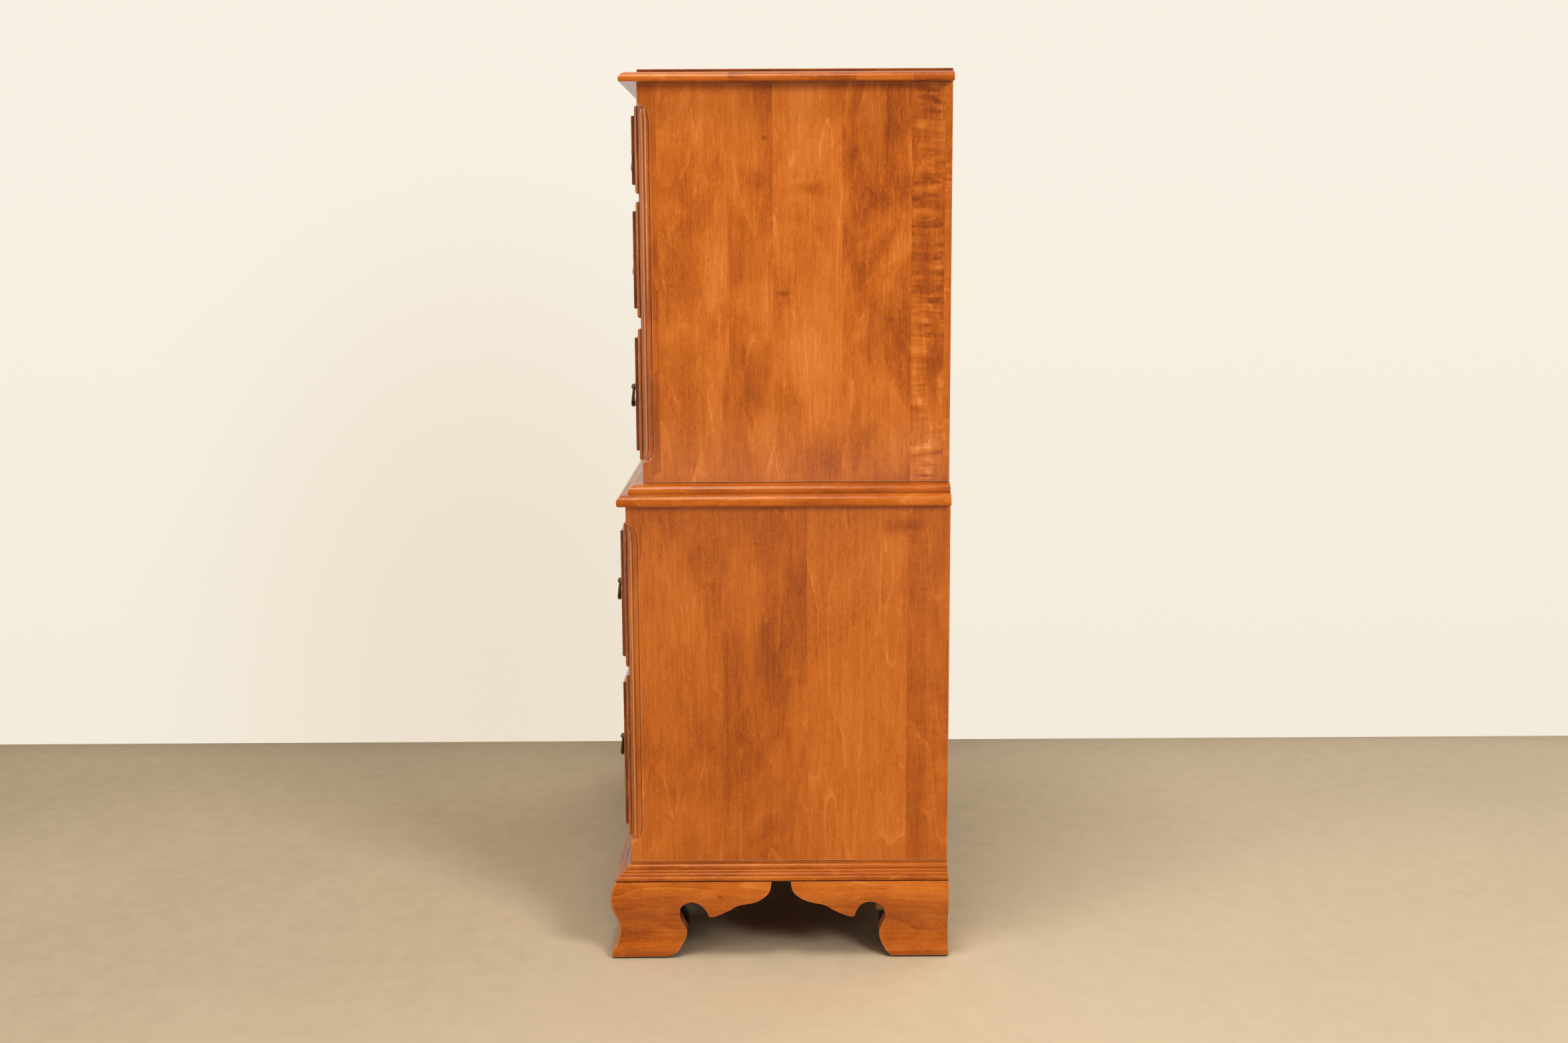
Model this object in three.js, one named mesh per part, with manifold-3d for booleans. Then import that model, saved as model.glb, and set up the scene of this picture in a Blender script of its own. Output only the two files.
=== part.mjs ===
// Chest on chest in stained maple: an upper and a lower case of drawers on ogee bracket feet.
// Millimetres, +Z up, front towards -Y, origin on the floor under the middle of the chest.
import * as THREE from 'three';
import { mergeVertices } from 'three/addons/utils/BufferGeometryUtils.js';
import Module from 'manifold-3d';

const wasm = await Module();
wasm.setup();

// Heights, from the floor up
const floorGap = 2.5;
const footHeight = 113;
const baseHeight = 24;
const lowerHeight = 533;
const deckHeight = 31;
const upperHeight = 565;
const topHeight = 19;

// Plan of the two cases
const lowerWidth = 914;
const lowerDepth = 468.5;
const caseSetback = 24;

// Fits
const seam = 0.3;
const slideClear = 1.5;
const overrun = 6;

// Case boards
const sideThick = 20;
const backThick = 6;
const backRabbet = 8;
const backInset = 1;
const frameThick = 20;
const runnerThick = 20;
const runnerWidth = 58;
const guideHeight = 16;
const dustThick = 6;

// Top board's edge, from its underside up
const topNose = 24;
const topNoseHeight = 14;
const topUnderRound = 2.5;
const topNoseFlat = 1.1;
const topRoundRun = 14;
const topStepBack = 1;
const topStepRound = 1;

// Waist board's edge, from its underside up
const deckNose = 12.5;
const deckUnderRun = 3.2;
const deckUnderRise = 5;
const deckNoseFlat = 1.8;
const deckNoseTop = 17.5;
const deckFillet = 3.3;
const deckFilletRise = 2;
const deckOvoloRun = 17;

// Base moulding: its member's depth, and its reeds from the top down as how proud and how high they are
const baseMember = 60;
const baseReeds = [[8, 15.8], [12.5, 11], [17, 7.8], [22.7, 4.4]];
const baseFillet = 0.8;
const baseShoulder = 21.4;
const baseGroove = 1.5;
const baseUnderRun = 2.2;
const baseUnderRise = 3.2;

// Drawer rows, each case's rows counted upwards
const upperRevealLow = 29.3;
const upperRevealHigh = 29;
const upperGaps = [15.1, 10.7];
const upperRowShares = [0.399, 0.3444, 0.2566];
const lowerRevealLow = 31.8;
const lowerRevealHigh = 27.6;
const lowerGaps = [12.3];
const lowerRowShares = [0.533, 0.467];
const centreGap = 14;
const stileReveal = 8;

// Drawer fronts
const lipSide = 8.5;
const lipTop = 6;
const lipThick = 6;
const lipRound = 4.2;
const bodyThick = 14;
const fieldInset = 13;
const fieldRise = 5.5;
const fieldRound = 1.2;

// Drawer boxes
const boxSide = 12;
const boxBottom = 6;
const bottomRaise = 10;
const boxBackGap = 14;
const boxTopGap = 6;

// Half-blind dovetails where the drawer sides meet the drawer front
const tailLength = 9;
const tailPitch = 46;
const tailFlare = 1.5;
const tailWidthShare = 0.62;

// Stopped moulded corner of the side panels, measured from the two faces it joins
const cornerWidth = 18;
const quirkDepth = 3.4;
const quirkRun = 0.7;
const beadBulge = 2.2;
const valleyFar = 8.2;
const valleyNear = 7;
const ridgeAt = 5.9;
const stopRadius = 34;
const stopOverrun = 1.5;

// Ogee bracket feet
const footProud = 30.2;
const bracketInner = 6;
const wingGap = 27.5;
const frontWingShare = 0.5041;
const rearBoardThick = 18;
const rearBoardLength = 150;
const blockBottom = 60;
const blockMargin = 15;

// Casters
const wheelRadius = 21.5;
const wheelWidth = 17;
const hubRadius = 5.5;
const dishRadius = 14.5;
const dishDepth = 3;
const tyreInner = 15.8;
const tyreRound = 1.6;
const casterTrail = 14;
const casterInboard = 81.5;
const frontStemBack = 45;
const rearStemForward = 90;
const stemRadius = 5;
const stemLength = 36;
const stemClear = 0.4;
const axleRadius = 2.4;
const axleClear = 0.4;
const legThick = 2.2;
const legGap = 1;
const cupRadius = 15;
const cupHeight = 5.5;
const crownHeight = 4;

// Bail handles
const postSpacing = 76;
const postRise = 5;
const postReach = 7.5;
const headRadius = 4.6;
const neckRadius = 3.2;
const roseRadius = 7;
const plateThick = 1.5;
const plateWidth = 104;
const plateHeight = 58;
const pinRadius = 1.7;
const pinClear = 0.45;
const bailMiddle = 3;
const bailDrop = 29;
const bailForward = 2.5;
const bailGap = 0.7;
const handleInset = 155;

// Levels and planes worked out from the sizes above
const footTop = floorGap + footHeight;
const baseTop = footTop + baseHeight;
const lowerTop = baseTop + lowerHeight;
const deckTop = lowerTop + deckHeight;
const upperTop = deckTop + upperHeight;

// Numbers of steps in the round forms
const curveSteps = 3;
const stopSteps = 5;
const wheelSides = 16;
const roundSides = 12;
const postSides = 6;
const bailSides = 6;
const bailSteps = 6;

// Finishes
const maple = { color: 0xb5652b, roughness: 0.38, metalness: 0 };
const mapleDark = { color: 0xa85a24, roughness: 0.4, metalness: 0 };
const drawerWood = { color: 0xcfa878, roughness: 0.65, metalness: 0 };
const backBoard = { color: 0x8a6238, roughness: 0.8, metalness: 0 };
const oldBrass = { color: 0x4b3d24, roughness: 0.45, metalness: 0.85 };
const forkSteel = { color: 0x8d8a80, roughness: 0.4, metalness: 0.9 };
const tyreBlack = { color: 0x1a1918, roughness: 0.6, metalness: 0 };

// Solids

// A closed solid from any closed geometry
function solidOf(geometry) {
  const bare = geometry.clone();
  bare.deleteAttribute('normal');
  bare.deleteAttribute('uv');
  const merged = mergeVertices(bare);
  const vertProperties = new Float32Array(merged.attributes.position.array);
  const triVerts = new Uint32Array(merged.index.array);
  return new wasm.Manifold(new wasm.Mesh({ numProp: 3, vertProperties, triVerts }));
}

function join(...solids) {
  return solids.reduce((whole, next) => whole.add(next));
}

function block(x, y, z) {
  const low = [x, y, z].map((pair) => Math.min(...pair));
  const size = [x, y, z].map((pair) => Math.abs(pair[1] - pair[0]));
  const geometry = new THREE.BoxGeometry(...size);
  geometry.translate(low[0] + size[0] / 2, low[1] + size[1] / 2, low[2] + size[2] / 2);
  return solidOf(geometry);
}

// The triangles that close a loop of points, which may be hollow in outline
function capTriangles(loop) {
  const normal = new THREE.Vector3();
  loop.forEach((p, i) => normal.add(new THREE.Vector3().crossVectors(p, loop[(i + 1) % loop.length])));
  const size = normal.toArray().map(Math.abs);
  const dropped = size.indexOf(Math.max(...size));
  const kept = [0, 1, 2].filter((axis) => axis !== dropped);
  const flat = loop.map((p) => new THREE.Vector2(p.getComponent(kept[0]), p.getComponent(kept[1])));
  return THREE.ShapeUtils.triangulateShape(flat, []);
}

// A solid drawn through loops of points, closed at its first and last loop
function loft(loops) {
  const count = loops[0].length;
  const points = loops.flat();
  const faces = [];
  for (let i = 0; i + 1 < loops.length; i++) {
    for (let j = 0; j < count; j++) {
      const a = i * count + j;
      const b = i * count + (j + 1) % count;
      faces.push([a, b, b + count], [a, b + count, a + count]);
    }
  }
  const first = capTriangles(loops[0]);
  const side = faces[0];
  const cap = first.find((t) => t.includes(0) && t.includes(1));
  const along = (t) => t[(t.indexOf(0) + 1) % 3] === 1;
  const turned = along(cap) === along(side);
  const start = (loops.length - 1) * count;
  first.forEach((t) => faces.push(turned ? [t[0], t[2], t[1]] : t));
  first.forEach((t) => faces.push((turned ? t : [t[0], t[2], t[1]]).map((k) => k + start)));
  const volume = faces.reduce((sum, [a, b, c]) => {
    return sum + points[a].dot(new THREE.Vector3().crossVectors(points[b], points[c]));
  }, 0);
  const outward = volume > 0 ? faces : faces.map(([a, b, c]) => [a, c, b]);
  const geometry = new THREE.BufferGeometry().setFromPoints(points);
  geometry.setIndex(outward.flat());
  return solidOf(geometry);
}

// A flat outline pushed along one axis: x takes (y, z) outlines and y takes (x, z) outlines
function prism(outline, axis, from, to) {
  const shape = new THREE.Shape(outline.map(([u, v]) => new THREE.Vector2(u, v)));
  const low = Math.min(from, to);
  const high = Math.max(from, to);
  const geometry = new THREE.ExtrudeGeometry(shape, { depth: high - low, bevelEnabled: false });
  const turn = new THREE.Matrix4();
  if (axis === 'x') {
    turn.makeBasis(new THREE.Vector3(0, 1, 0), new THREE.Vector3(0, 0, 1), new THREE.Vector3(1, 0, 0));
    turn.setPosition(low, 0, 0);
  } else {
    turn.makeBasis(new THREE.Vector3(1, 0, 0), new THREE.Vector3(0, 0, 1), new THREE.Vector3(0, -1, 0));
    turn.setPosition(0, high, 0);
  }
  geometry.applyMatrix4(turn);
  return solidOf(geometry);
}

// A turned solid from (radius, height) points, with its axis along x, y or z through a point
function turned(profile, sides, axis, at, phase = 0) {
  const outline = profile.map(([r, h]) => new THREE.Vector2(r, h));
  if (profile[0][0] > 0) {
    outline.push(outline[0].clone());
  }
  const geometry = new THREE.LatheGeometry(outline, sides, phase);
  if (axis === 'x') {
    geometry.rotateZ(-Math.PI / 2);
  }
  if (axis === 'z') {
    geometry.rotateX(Math.PI / 2);
  }
  geometry.translate(...at);
  const bare = geometry.clone();
  bare.deleteAttribute('normal');
  bare.deleteAttribute('uv');
  const merged = mergeVertices(bare);
  const faces = [];
  for (let i = 0; i < merged.index.count; i += 3) {
    const t = [0, 1, 2].map((k) => merged.index.getX(i + k));
    if (new Set(t).size === 3) {
      faces.push(t);
    }
  }
  const p = faces.flat().map((k) => new THREE.Vector3().fromBufferAttribute(merged.attributes.position, k));
  let volume = 0;
  for (let i = 0; i < p.length; i += 3) {
    volume += p[i].dot(new THREE.Vector3().crossVectors(p[i + 1], p[i + 2]));
  }
  merged.setIndex((volume > 0 ? faces : faces.map(([a, b, c]) => [a, c, b])).flat());
  return solidOf(merged);
}

function rod(radius, axis, at, from, to, sides = roundSides) {
  return turned([[0, from], [radius, from], [radius, to], [0, to]], sides, axis, at);
}

// Outlines

// A quarter of an ellipse between two points, which leaves the first one level or upright
function quarter([x0, y0], [x1, y1], level, steps = curveSteps) {
  const points = [];
  for (let i = 1; i <= steps; i++) {
    const angle = (i / steps) * (Math.PI / 2);
    const fast = Math.sin(angle);
    const slow = 1 - Math.cos(angle);
    const [u, v] = level ? [fast, slow] : [slow, fast];
    points.push([x0 + (x1 - x0) * u, y0 + (y1 - y0) * v]);
  }
  return points;
}

// An arc between two points that stands off its chord by a bulge, to the left of the way
function bulged([x0, y0], [x1, y1], bulge, steps = curveSteps) {
  const length = Math.hypot(x1 - x0, y1 - y0);
  const points = [];
  for (let i = 1; i < steps; i++) {
    const t = i / steps;
    const off = bulge * (1 - (2 * t - 1) ** 2);
    const along = [x0 + (x1 - x0) * t, y0 + (y1 - y0) * t];
    points.push([along[0] - (y1 - y0) / length * off, along[1] + (x1 - x0) / length * off]);
  }
  return points;
}

// A smooth curve through points given as shares of a width and a height
function smooth(shares, width, height, steps = 2) {
  const curve = new THREE.SplineCurve(shares.map(([u, v]) => new THREE.Vector2(u * width, v * height)));
  return curve.getPoints((shares.length - 1) * steps).map((p) => [p.x, p.y]);
}

// The ogee face of the feet, from the toe upwards: how proud and how high, as shares
const ogeeShares = [
  [0.967, 0.075], [0.77, 0.15], [0.64, 0.26], [0.612, 0.37], [0.7, 0.49],
  [0.88, 0.61], [1, 0.77], [0.93, 0.9], [0.765, 1],
];
const ogee = smooth(ogeeShares, footProud, footHeight, 2);
const footReach = Math.max(...ogee.map(([out]) => out));
const toeProud = ogee[0][0];

// The two brackets on each side share the run from the front toe to the back, less the gap between them
const bracketRun = lowerDepth + toeProud - wingGap;
const frontScrollLength = bracketRun * frontWingShare;
const rearScrollLength = bracketRun - frontScrollLength;

// Planes of the faces
const backY = (lowerDepth + footReach) / 2;
const lowerFront = backY - lowerDepth;
const upperFront = lowerFront + caseSetback;
const lowerHalf = lowerWidth / 2;
const upperHalf = lowerHalf - caseSetback;
const boardBack = backY - backInset - backThick;

const lowerCase = {
  half: lowerHalf, front: lowerFront, low: baseTop, high: lowerTop,
  revealLow: lowerRevealLow, revealHigh: lowerRevealHigh, gaps: lowerGaps, shares: lowerRowShares,
};
const upperCase = {
  half: upperHalf, front: upperFront, low: deckTop, high: upperTop,
  revealLow: upperRevealLow, revealHigh: upperRevealHigh, gaps: upperGaps, shares: upperRowShares,
};

// The rows of lipped drawer fronts of a case, from its lowest row upwards
function rowsOf(chest) {
  const gaps = chest.gaps.reduce((sum, gap) => sum + gap, 0);
  const free = chest.high - chest.low - chest.revealLow - chest.revealHigh - gaps;
  const total = chest.shares.reduce((sum, share) => sum + share, 0);
  let level = chest.low + chest.revealLow;
  return chest.shares.map((share, i) => {
    const row = { low: level, high: level + free * share / total };
    level = row.high + (chest.gaps[i] ?? 0);
    return row;
  });
}
const upperRows = rowsOf(upperCase);
const lowerRows = rowsOf(lowerCase);

// Boards with moulded edges

// A board whose front and side edges follow (proud, height) steps and whose back edge is flat
function mouldedBoard(steps, half, front) {
  return loft(steps.map(([out, z]) => [
    new THREE.Vector3(-half - out, backY, z),
    new THREE.Vector3(-half - out, front - out, z),
    new THREE.Vector3(half + out, front - out, z),
    new THREE.Vector3(half + out, backY, z),
  ]));
}

// A moulding mitred round the front and both sides, from a closed (proud, height) outline
function mitredBand(outline, half, front) {
  const at = (x, y) => outline.map(([out, z]) => new THREE.Vector3(x(out), y(out), z));
  const left = (out) => -half - out;
  const right = (out) => half + out;
  const fore = (out) => front - out;
  const back = () => backY;
  return loft([at(left, back), at(left, fore), at(right, fore), at(right, back)]);
}

function topBoard() {
  const low = upperTop + seam;
  const shelf = upperTop + topNoseHeight;
  const high = upperTop + topHeight;
  const nose = [topNose, low + topUnderRound];
  const noseTop = [topNose, nose[1] + topNoseFlat];
  const steps = [
    [topNose - topUnderRound, low],
    ...quarter([topNose - topUnderRound, low], nose, true, 2),
    noseTop,
    ...quarter(noseTop, [topNose - topRoundRun, shelf], false, 4),
    [-topStepBack, shelf],
    [-topStepBack, high - topStepRound],
    [-topStepBack - topStepRound, high],
  ];
  return mouldedBoard(steps, upperHalf, upperFront);
}

function waistDeck() {
  const low = lowerTop + seam;
  const nose = [deckNose, low + deckUnderRise];
  const noseTop = [deckNose, nose[1] + deckNoseFlat];
  const fillet = [-deckFillet, lowerTop + deckNoseTop];
  const filletTop = [-deckFillet, fillet[1] + deckFilletRise];
  const steps = [
    [deckNose - deckUnderRun, low],
    ...quarter([deckNose - deckUnderRun, low], nose, true, 3),
    noseTop,
    ...quarter(noseTop, fillet, false, 4),
    filletTop,
    ...quarter(filletTop, [-deckFillet - deckOvoloRun, deckTop - seam], false, 4),
  ];
  return mouldedBoard(steps, lowerHalf, lowerFront);
}

function baseMoulding() {
  const low = footTop;
  const high = baseTop - seam;
  const nose = baseReeds[baseReeds.length - 1];
  let from = [baseFillet, low + baseShoulder];
  const outline = [[-baseMember, low], [-baseMember, high], [baseFillet, high], from];
  baseReeds.forEach(([out, up], i) => {
    const to = [out, low + up];
    outline.push(...quarter(from, to, true, 3));
    from = i === 0 ? [out + baseGroove, to[1] - baseGroove] : to;
    if (i === 0) {
      outline.push([out, to[1] - baseGroove], from);
    }
  });
  outline.push([nose[0], low + baseUnderRise]);
  outline.push(...quarter([nose[0], low + baseUnderRise], [nose[0] - baseUnderRun, low], false, 2));
  const band = mitredBand(outline, lowerHalf, lowerFront);
  const inner = lowerHalf - baseMember + overrun;
  const rail = block([-inner, inner], [backY - baseMember, backY], [low, high]);
  return join(band, rail);
}

// Side panels

// The corner moulding's outline in distances behind the front face and inside the side face
function cornerOutline() {
  const half = [
    [cornerWidth + quirkRun, -overrun],
    [cornerWidth - quirkRun, quirkDepth],
  ];
  half.push(...bulged(half[1], [valleyFar, valleyNear], beadBulge, 5));
  half.push([valleyFar, valleyNear]);
  const mirrored = half.map(([a, b]) => [b, a]).reverse();
  return [...half, [ridgeAt, ridgeAt], ...mirrored, [-overrun, -overrun]];
}

// The cutter leaves the corner along a round path at both ends, which makes the lamb's tongues
function cornerCutter(chest, side, low, high) {
  const outline = cornerOutline();
  const away = (valleyFar + seam) * Math.SQRT2;
  const swing = Math.acos(1 - away / stopRadius);
  const stations = [];
  for (let i = stopSteps; i >= 0; i--) {
    const angle = swing * i / stopSteps;
    stations.push([stopRadius * (Math.sin(swing) - Math.sin(angle)), stopRadius * (1 - Math.cos(angle))]);
  }
  const path = [
    ...stations.map(([rise, off]) => [low + rise, off]),
    ...stations.map(([rise, off]) => [high - rise, off]).reverse(),
  ];
  return loft(path.map(([z, off]) => outline.map(([a, b]) => {
    const shift = off / Math.SQRT2;
    return new THREE.Vector3(side * (chest.half - b + shift), chest.front + a - shift, z);
  })));
}

function sidePanel(chest, side) {
  const rows = rowsOf(chest);
  const inner = chest.half - sideThick;
  const low = chest.low + seam;
  const high = chest.high;
  const board = block([side * inner, side * chest.half], [chest.front, backY], [low, high]);
  const rabbet = block(
    [side * (inner - overrun), side * (inner + backRabbet)],
    [boardBack - seam, backY + overrun],
    [low - overrun, high + overrun],
  );
  const last = rows[rows.length - 1];
  const cutter = cornerCutter(chest, side, rows[0].low - stopOverrun, last.high + stopOverrun);
  return board.subtract(rabbet).subtract(cutter);
}

function backPanel(chest) {
  const reach = chest.half - sideThick + backRabbet - seam;
  return block([-reach, reach], [boardBack, boardBack + backThick], [chest.low + seam, chest.high - seam]);
}

// Frames

function openingEdge(chest) {
  return chest.half - cornerWidth - stileReveal - lipSide;
}

// A level of runners, guides and a dust panel whose top carries a row of drawers
function dustLevel(chest, top, split) {
  const wall = chest.half - sideThick - seam;
  const edge = openingEdge(chest);
  const from = chest.front + frameThick;
  const to = boardBack - seam;
  const low = top - runnerThick;
  const pieces = [
    block([-wall, wall], [from, from + runnerWidth], [low, top]),
    block([-wall, wall], [to - runnerWidth, to], [low, top]),
    block([-wall, wall], [from, to], [top - (runnerThick + dustThick) / 2, top - (runnerThick - dustThick) / 2]),
  ];
  for (const side of [-1, 1]) {
    pieces.push(block([side * (wall - runnerWidth), side * wall], [from, to], [low, top]));
    pieces.push(block([side * edge, side * wall], [from, to], [low, top + guideHeight]));
  }
  pieces.push(block([-runnerWidth / 2, runnerWidth / 2], [from, to], [low, top]));
  if (split) {
    const guide = centreGap / 2 + lipSide;
    pieces.push(block([-guide, guide], [from, to], [low, top + guideHeight]));
  }
  return join(...pieces);
}

// Side kickers over a case's highest row, which keep a drawer from tipping
function kickers(chest, underside, split) {
  const wall = chest.half - sideThick - seam;
  const from = chest.front + frameThick - overrun;
  const to = boardBack - seam;
  const pieces = [-1, 1].map((side) => block(
    [side * (wall - runnerWidth), side * wall], [from, to], [underside, underside + runnerThick],
  ));
  if (split) {
    pieces.push(block([-runnerWidth / 2, runnerWidth / 2], [from, to], [underside, underside + runnerThick]));
  }
  return join(...pieces);
}

// Stiles, rails and inner levels of a case, glued up as one frame; split rows have a centre stile
function caseFrame(chest, splitFrom) {
  const rows = rowsOf(chest);
  const wall = chest.half - sideThick - seam;
  const edge = openingEdge(chest);
  const face = [chest.front, chest.front + frameThick];
  const low = chest.low + seam;
  const high = chest.high - seam;
  const pieces = [-1, 1].map((side) => block([side * edge, side * wall], face, [low, high]));
  pieces.push(block([-wall, wall], face, [low, rows[0].low + lipTop]));
  rows.forEach((row, i) => {
    const above = i + 1 < rows.length ? rows[i + 1].low + lipTop : high;
    pieces.push(block([-wall, wall], face, [row.high - lipTop, above]));
    if (i > 0) {
      pieces.push(dustLevel(chest, row.low + lipTop, i >= splitFrom));
    }
  });
  if (splitFrom < rows.length) {
    const stile = centreGap / 2 + lipSide;
    pieces.push(block([-stile, stile], face, [rows[splitFrom].low, high]));
  }
  pieces.push(kickers(chest, rows[rows.length - 1].high - lipTop, splitFrom < rows.length));
  return join(...pieces);
}

// The lowest level of a case stands behind the bottom rail
function caseBottom(chest) {
  const rows = rowsOf(chest);
  const level = dustLevel(chest, rows[0].low + lipTop, false);
  const clear = block(
    [-chest.half, chest.half],
    [chest.front, chest.front + frameThick + seam],
    [chest.low, chest.high],
  );
  return level.subtract(clear);
}

// Feet

// The scroll cut in the front feet, as shares of its length and of the foot's height
const frontScrollShares = [
  [0.35, 0], [0.404, 0.058], [0.437, 0.145], [0.463, 0.24], [0.464, 0.33], [0.435, 0.45],
  [0.423, 0.58], [0.44, 0.69], [0.5, 0.748], [0.558, 0.7], [0.592, 0.605], [0.607, 0.52],
];
const frontWingShares = [
  [0.607, 0.52], [0.645, 0.522], [0.733, 0.618], [0.79, 0.69], [0.899, 0.742], [0.965, 0.83],
  [0.99, 0.91], [1, 1.06],
];
const rearScrollShares = [
  [0.365, 0], [0.396, 0.075], [0.425, 0.17], [0.437, 0.275], [0.424, 0.38], [0.402, 0.49],
  [0.404, 0.6], [0.432, 0.7], [0.497, 0.741], [0.55, 0.706], [0.581, 0.615], [0.595, 0.514],
];
const rearWingShares = [
  [0.595, 0.514], [0.64, 0.522], [0.733, 0.623], [0.78, 0.69], [0.89, 0.748], [0.955, 0.82],
  [0.99, 0.905], [1, 1.06],
];
const rearBoardShares = [[0.58, 0], [0.6, 0.3], [0.72, 0.55], [0.93, 0.72], [1, 1.1]];

// A scroll's outline from the outer end of a bracket, going inwards in a given direction
function scrollOutline(curves, length, start, way) {
  const curve = curves.flatMap((shares) => smooth(shares, length, footHeight));
  const low = floorGap - overrun;
  const points = [[-overrun, low], [curve[0][0], low]];
  curve.forEach(([u, h]) => points.push([u, floorGap + h]));
  points.push([-overrun, points[points.length - 1][1]]);
  const apart = (p, q) => Math.hypot(p[0] - q[0], p[1] - q[1]) > seam;
  const clean = points.filter((p, i) => i === 0 || apart(p, points[i - 1]));
  const placed = clean.map(([u, z]) => [start + way * u, z]);
  return way > 0 ? placed : placed.reverse();
}

// The ogee moulding that all four feet are sawn from
function footBand() {
  const face = ogee.map(([out, up]) => [out, floorGap + up]);
  face[face.length - 1][1] = footTop - seam;
  const outline = [[-bracketInner, floorGap], [toeProud, floorGap], ...face, [-bracketInner, footTop - seam]];
  return mitredBand(outline, lowerHalf, lowerFront);
}

function stemBore(side, y) {
  const at = [side * (lowerHalf - casterInboard), y, 0];
  const socket = stemRadius + stemClear;
  const circled = socket / Math.cos(Math.PI / roundSides);
  return rod(circled, 'z', at, blockBottom - overrun, blockBottom + stemLength + seam);
}

function frontFoot(side, band) {
  const toe = lowerFront - toeProud;
  const sides = [side * (lowerHalf - bracketInner - overrun), side * (lowerHalf + footReach + overrun)];
  const curves = [frontScrollShares, frontWingShares];
  const along = prism(scrollOutline(curves, frontScrollLength, toe, 1), 'x', ...sides);
  const outer = side * (lowerHalf + toeProud);
  const fronts = [lowerFront + bracketInner + overrun, lowerFront - footReach - overrun];
  const across = prism(scrollOutline(curves, frontScrollLength, outer, -side), 'y', ...fronts);
  const brackets = band.intersect(join(along, across));
  const reach = casterInboard + blockMargin;
  const corner = block(
    [side * (lowerHalf - bracketInner + seam), side * (lowerHalf - reach)],
    [lowerFront + bracketInner - seam, lowerFront + frontStemBack + blockMargin],
    [blockBottom, footTop - seam],
  );
  return join(brackets, corner).subtract(stemBore(side, lowerFront + frontStemBack));
}

function rearFoot(side, band) {
  const sides = [side * (lowerHalf - bracketInner - overrun), side * (lowerHalf + footReach + overrun)];
  const curves = [rearScrollShares, rearWingShares];
  const along = prism(scrollOutline(curves, rearScrollLength, backY, -1), 'x', ...sides);
  const inner = side * (lowerHalf - bracketInner + seam);
  const outline = scrollOutline([rearBoardShares], rearBoardLength, side * lowerHalf, -side);
  const board = prism(outline, 'y', backY - rearBoardThick, backY)
    .intersect(block([inner, inner - side * lowerHalf], [lowerFront, backY], [floorGap, footTop - seam]));
  const reach = casterInboard + blockMargin;
  const corner = block(
    [inner, side * (lowerHalf - reach)],
    [backY - rearBoardThick + seam, backY - rearStemForward - blockMargin],
    [blockBottom, footTop - seam],
  );
  return join(band.intersect(along), board, corner).subtract(stemBore(side, backY - rearStemForward));
}

// Casters

function casterFork(x, y) {
  const inside = wheelWidth / 2 + legGap;
  const cupTop = blockBottom - seam;
  const cupLow = cupTop - cupHeight;
  const crownLow = cupLow - crownHeight;
  const stem = rod(stemRadius, 'z', [x, y, 0], cupLow, blockBottom + stemLength);
  const cup = rod(cupRadius, 'z', [x, y, 0], cupLow, cupTop);
  const crown = block(
    [x - inside - legThick, x + inside + legThick],
    [y - cupRadius, y + cupRadius],
    [crownLow, cupLow + seam],
  );
  const eye = y + casterTrail;
  const foot = axleRadius * 2;
  const leg = [
    [y - cupRadius, crownLow + seam],
    [eye - foot, wheelRadius - foot / 2],
    [eye - foot / 2, wheelRadius - foot],
    [eye + foot / 2, wheelRadius - foot],
    [eye + foot, wheelRadius - foot / 2],
    [eye + foot, wheelRadius + foot],
    [y + cupRadius, crownLow + seam],
  ];
  const legs = [-1, 1].map((way) => prism(leg, 'x', x + way * inside, x + way * (inside + legThick)));
  const axle = rod(axleRadius, 'x', [x, eye, wheelRadius], -inside - legThick, inside + legThick, postSides);
  return join(stem, cup, crown, ...legs, axle);
}

function casterWheel(x, y) {
  const half = wheelWidth / 2;
  const grow = 1 / Math.cos(Math.PI / wheelSides);
  const bore = axleRadius + axleClear;
  const face = half - tyreRound / 2;
  const profile = [
    [bore * grow, -half], [hubRadius, -half], [dishRadius, -half + dishDepth], [tyreInner, -face],
    [(wheelRadius - tyreRound) * grow, -face], [wheelRadius * grow, -face + tyreRound],
    [wheelRadius * grow, face - tyreRound], [(wheelRadius - tyreRound) * grow, face],
    [tyreInner, face], [dishRadius, half - dishDepth], [hubRadius, half], [bore * grow, half],
  ];
  return turned(profile, wheelSides, 'x', [x, y, wheelRadius], Math.PI / wheelSides);
}

// Drawers

// A drawer is known by its case, the edges of its lipped front and its handles' names and places
function drawerOf(name, chest, row, left, right, handles) {
  return { name, chest, low: row.low, high: row.high, left, right, handles };
}

// One dovetail, or its socket with clearance all round, between two planes of x
function dovetail([low, high], root, tip, [x0, x1], clear) {
  const outline = [
    [root, low - clear],
    [root, high + clear],
    [tip - clear, high + tailFlare + clear],
    [tip - clear, low - tailFlare - clear],
  ];
  return prism(outline, 'x', x0, x1);
}

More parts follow.
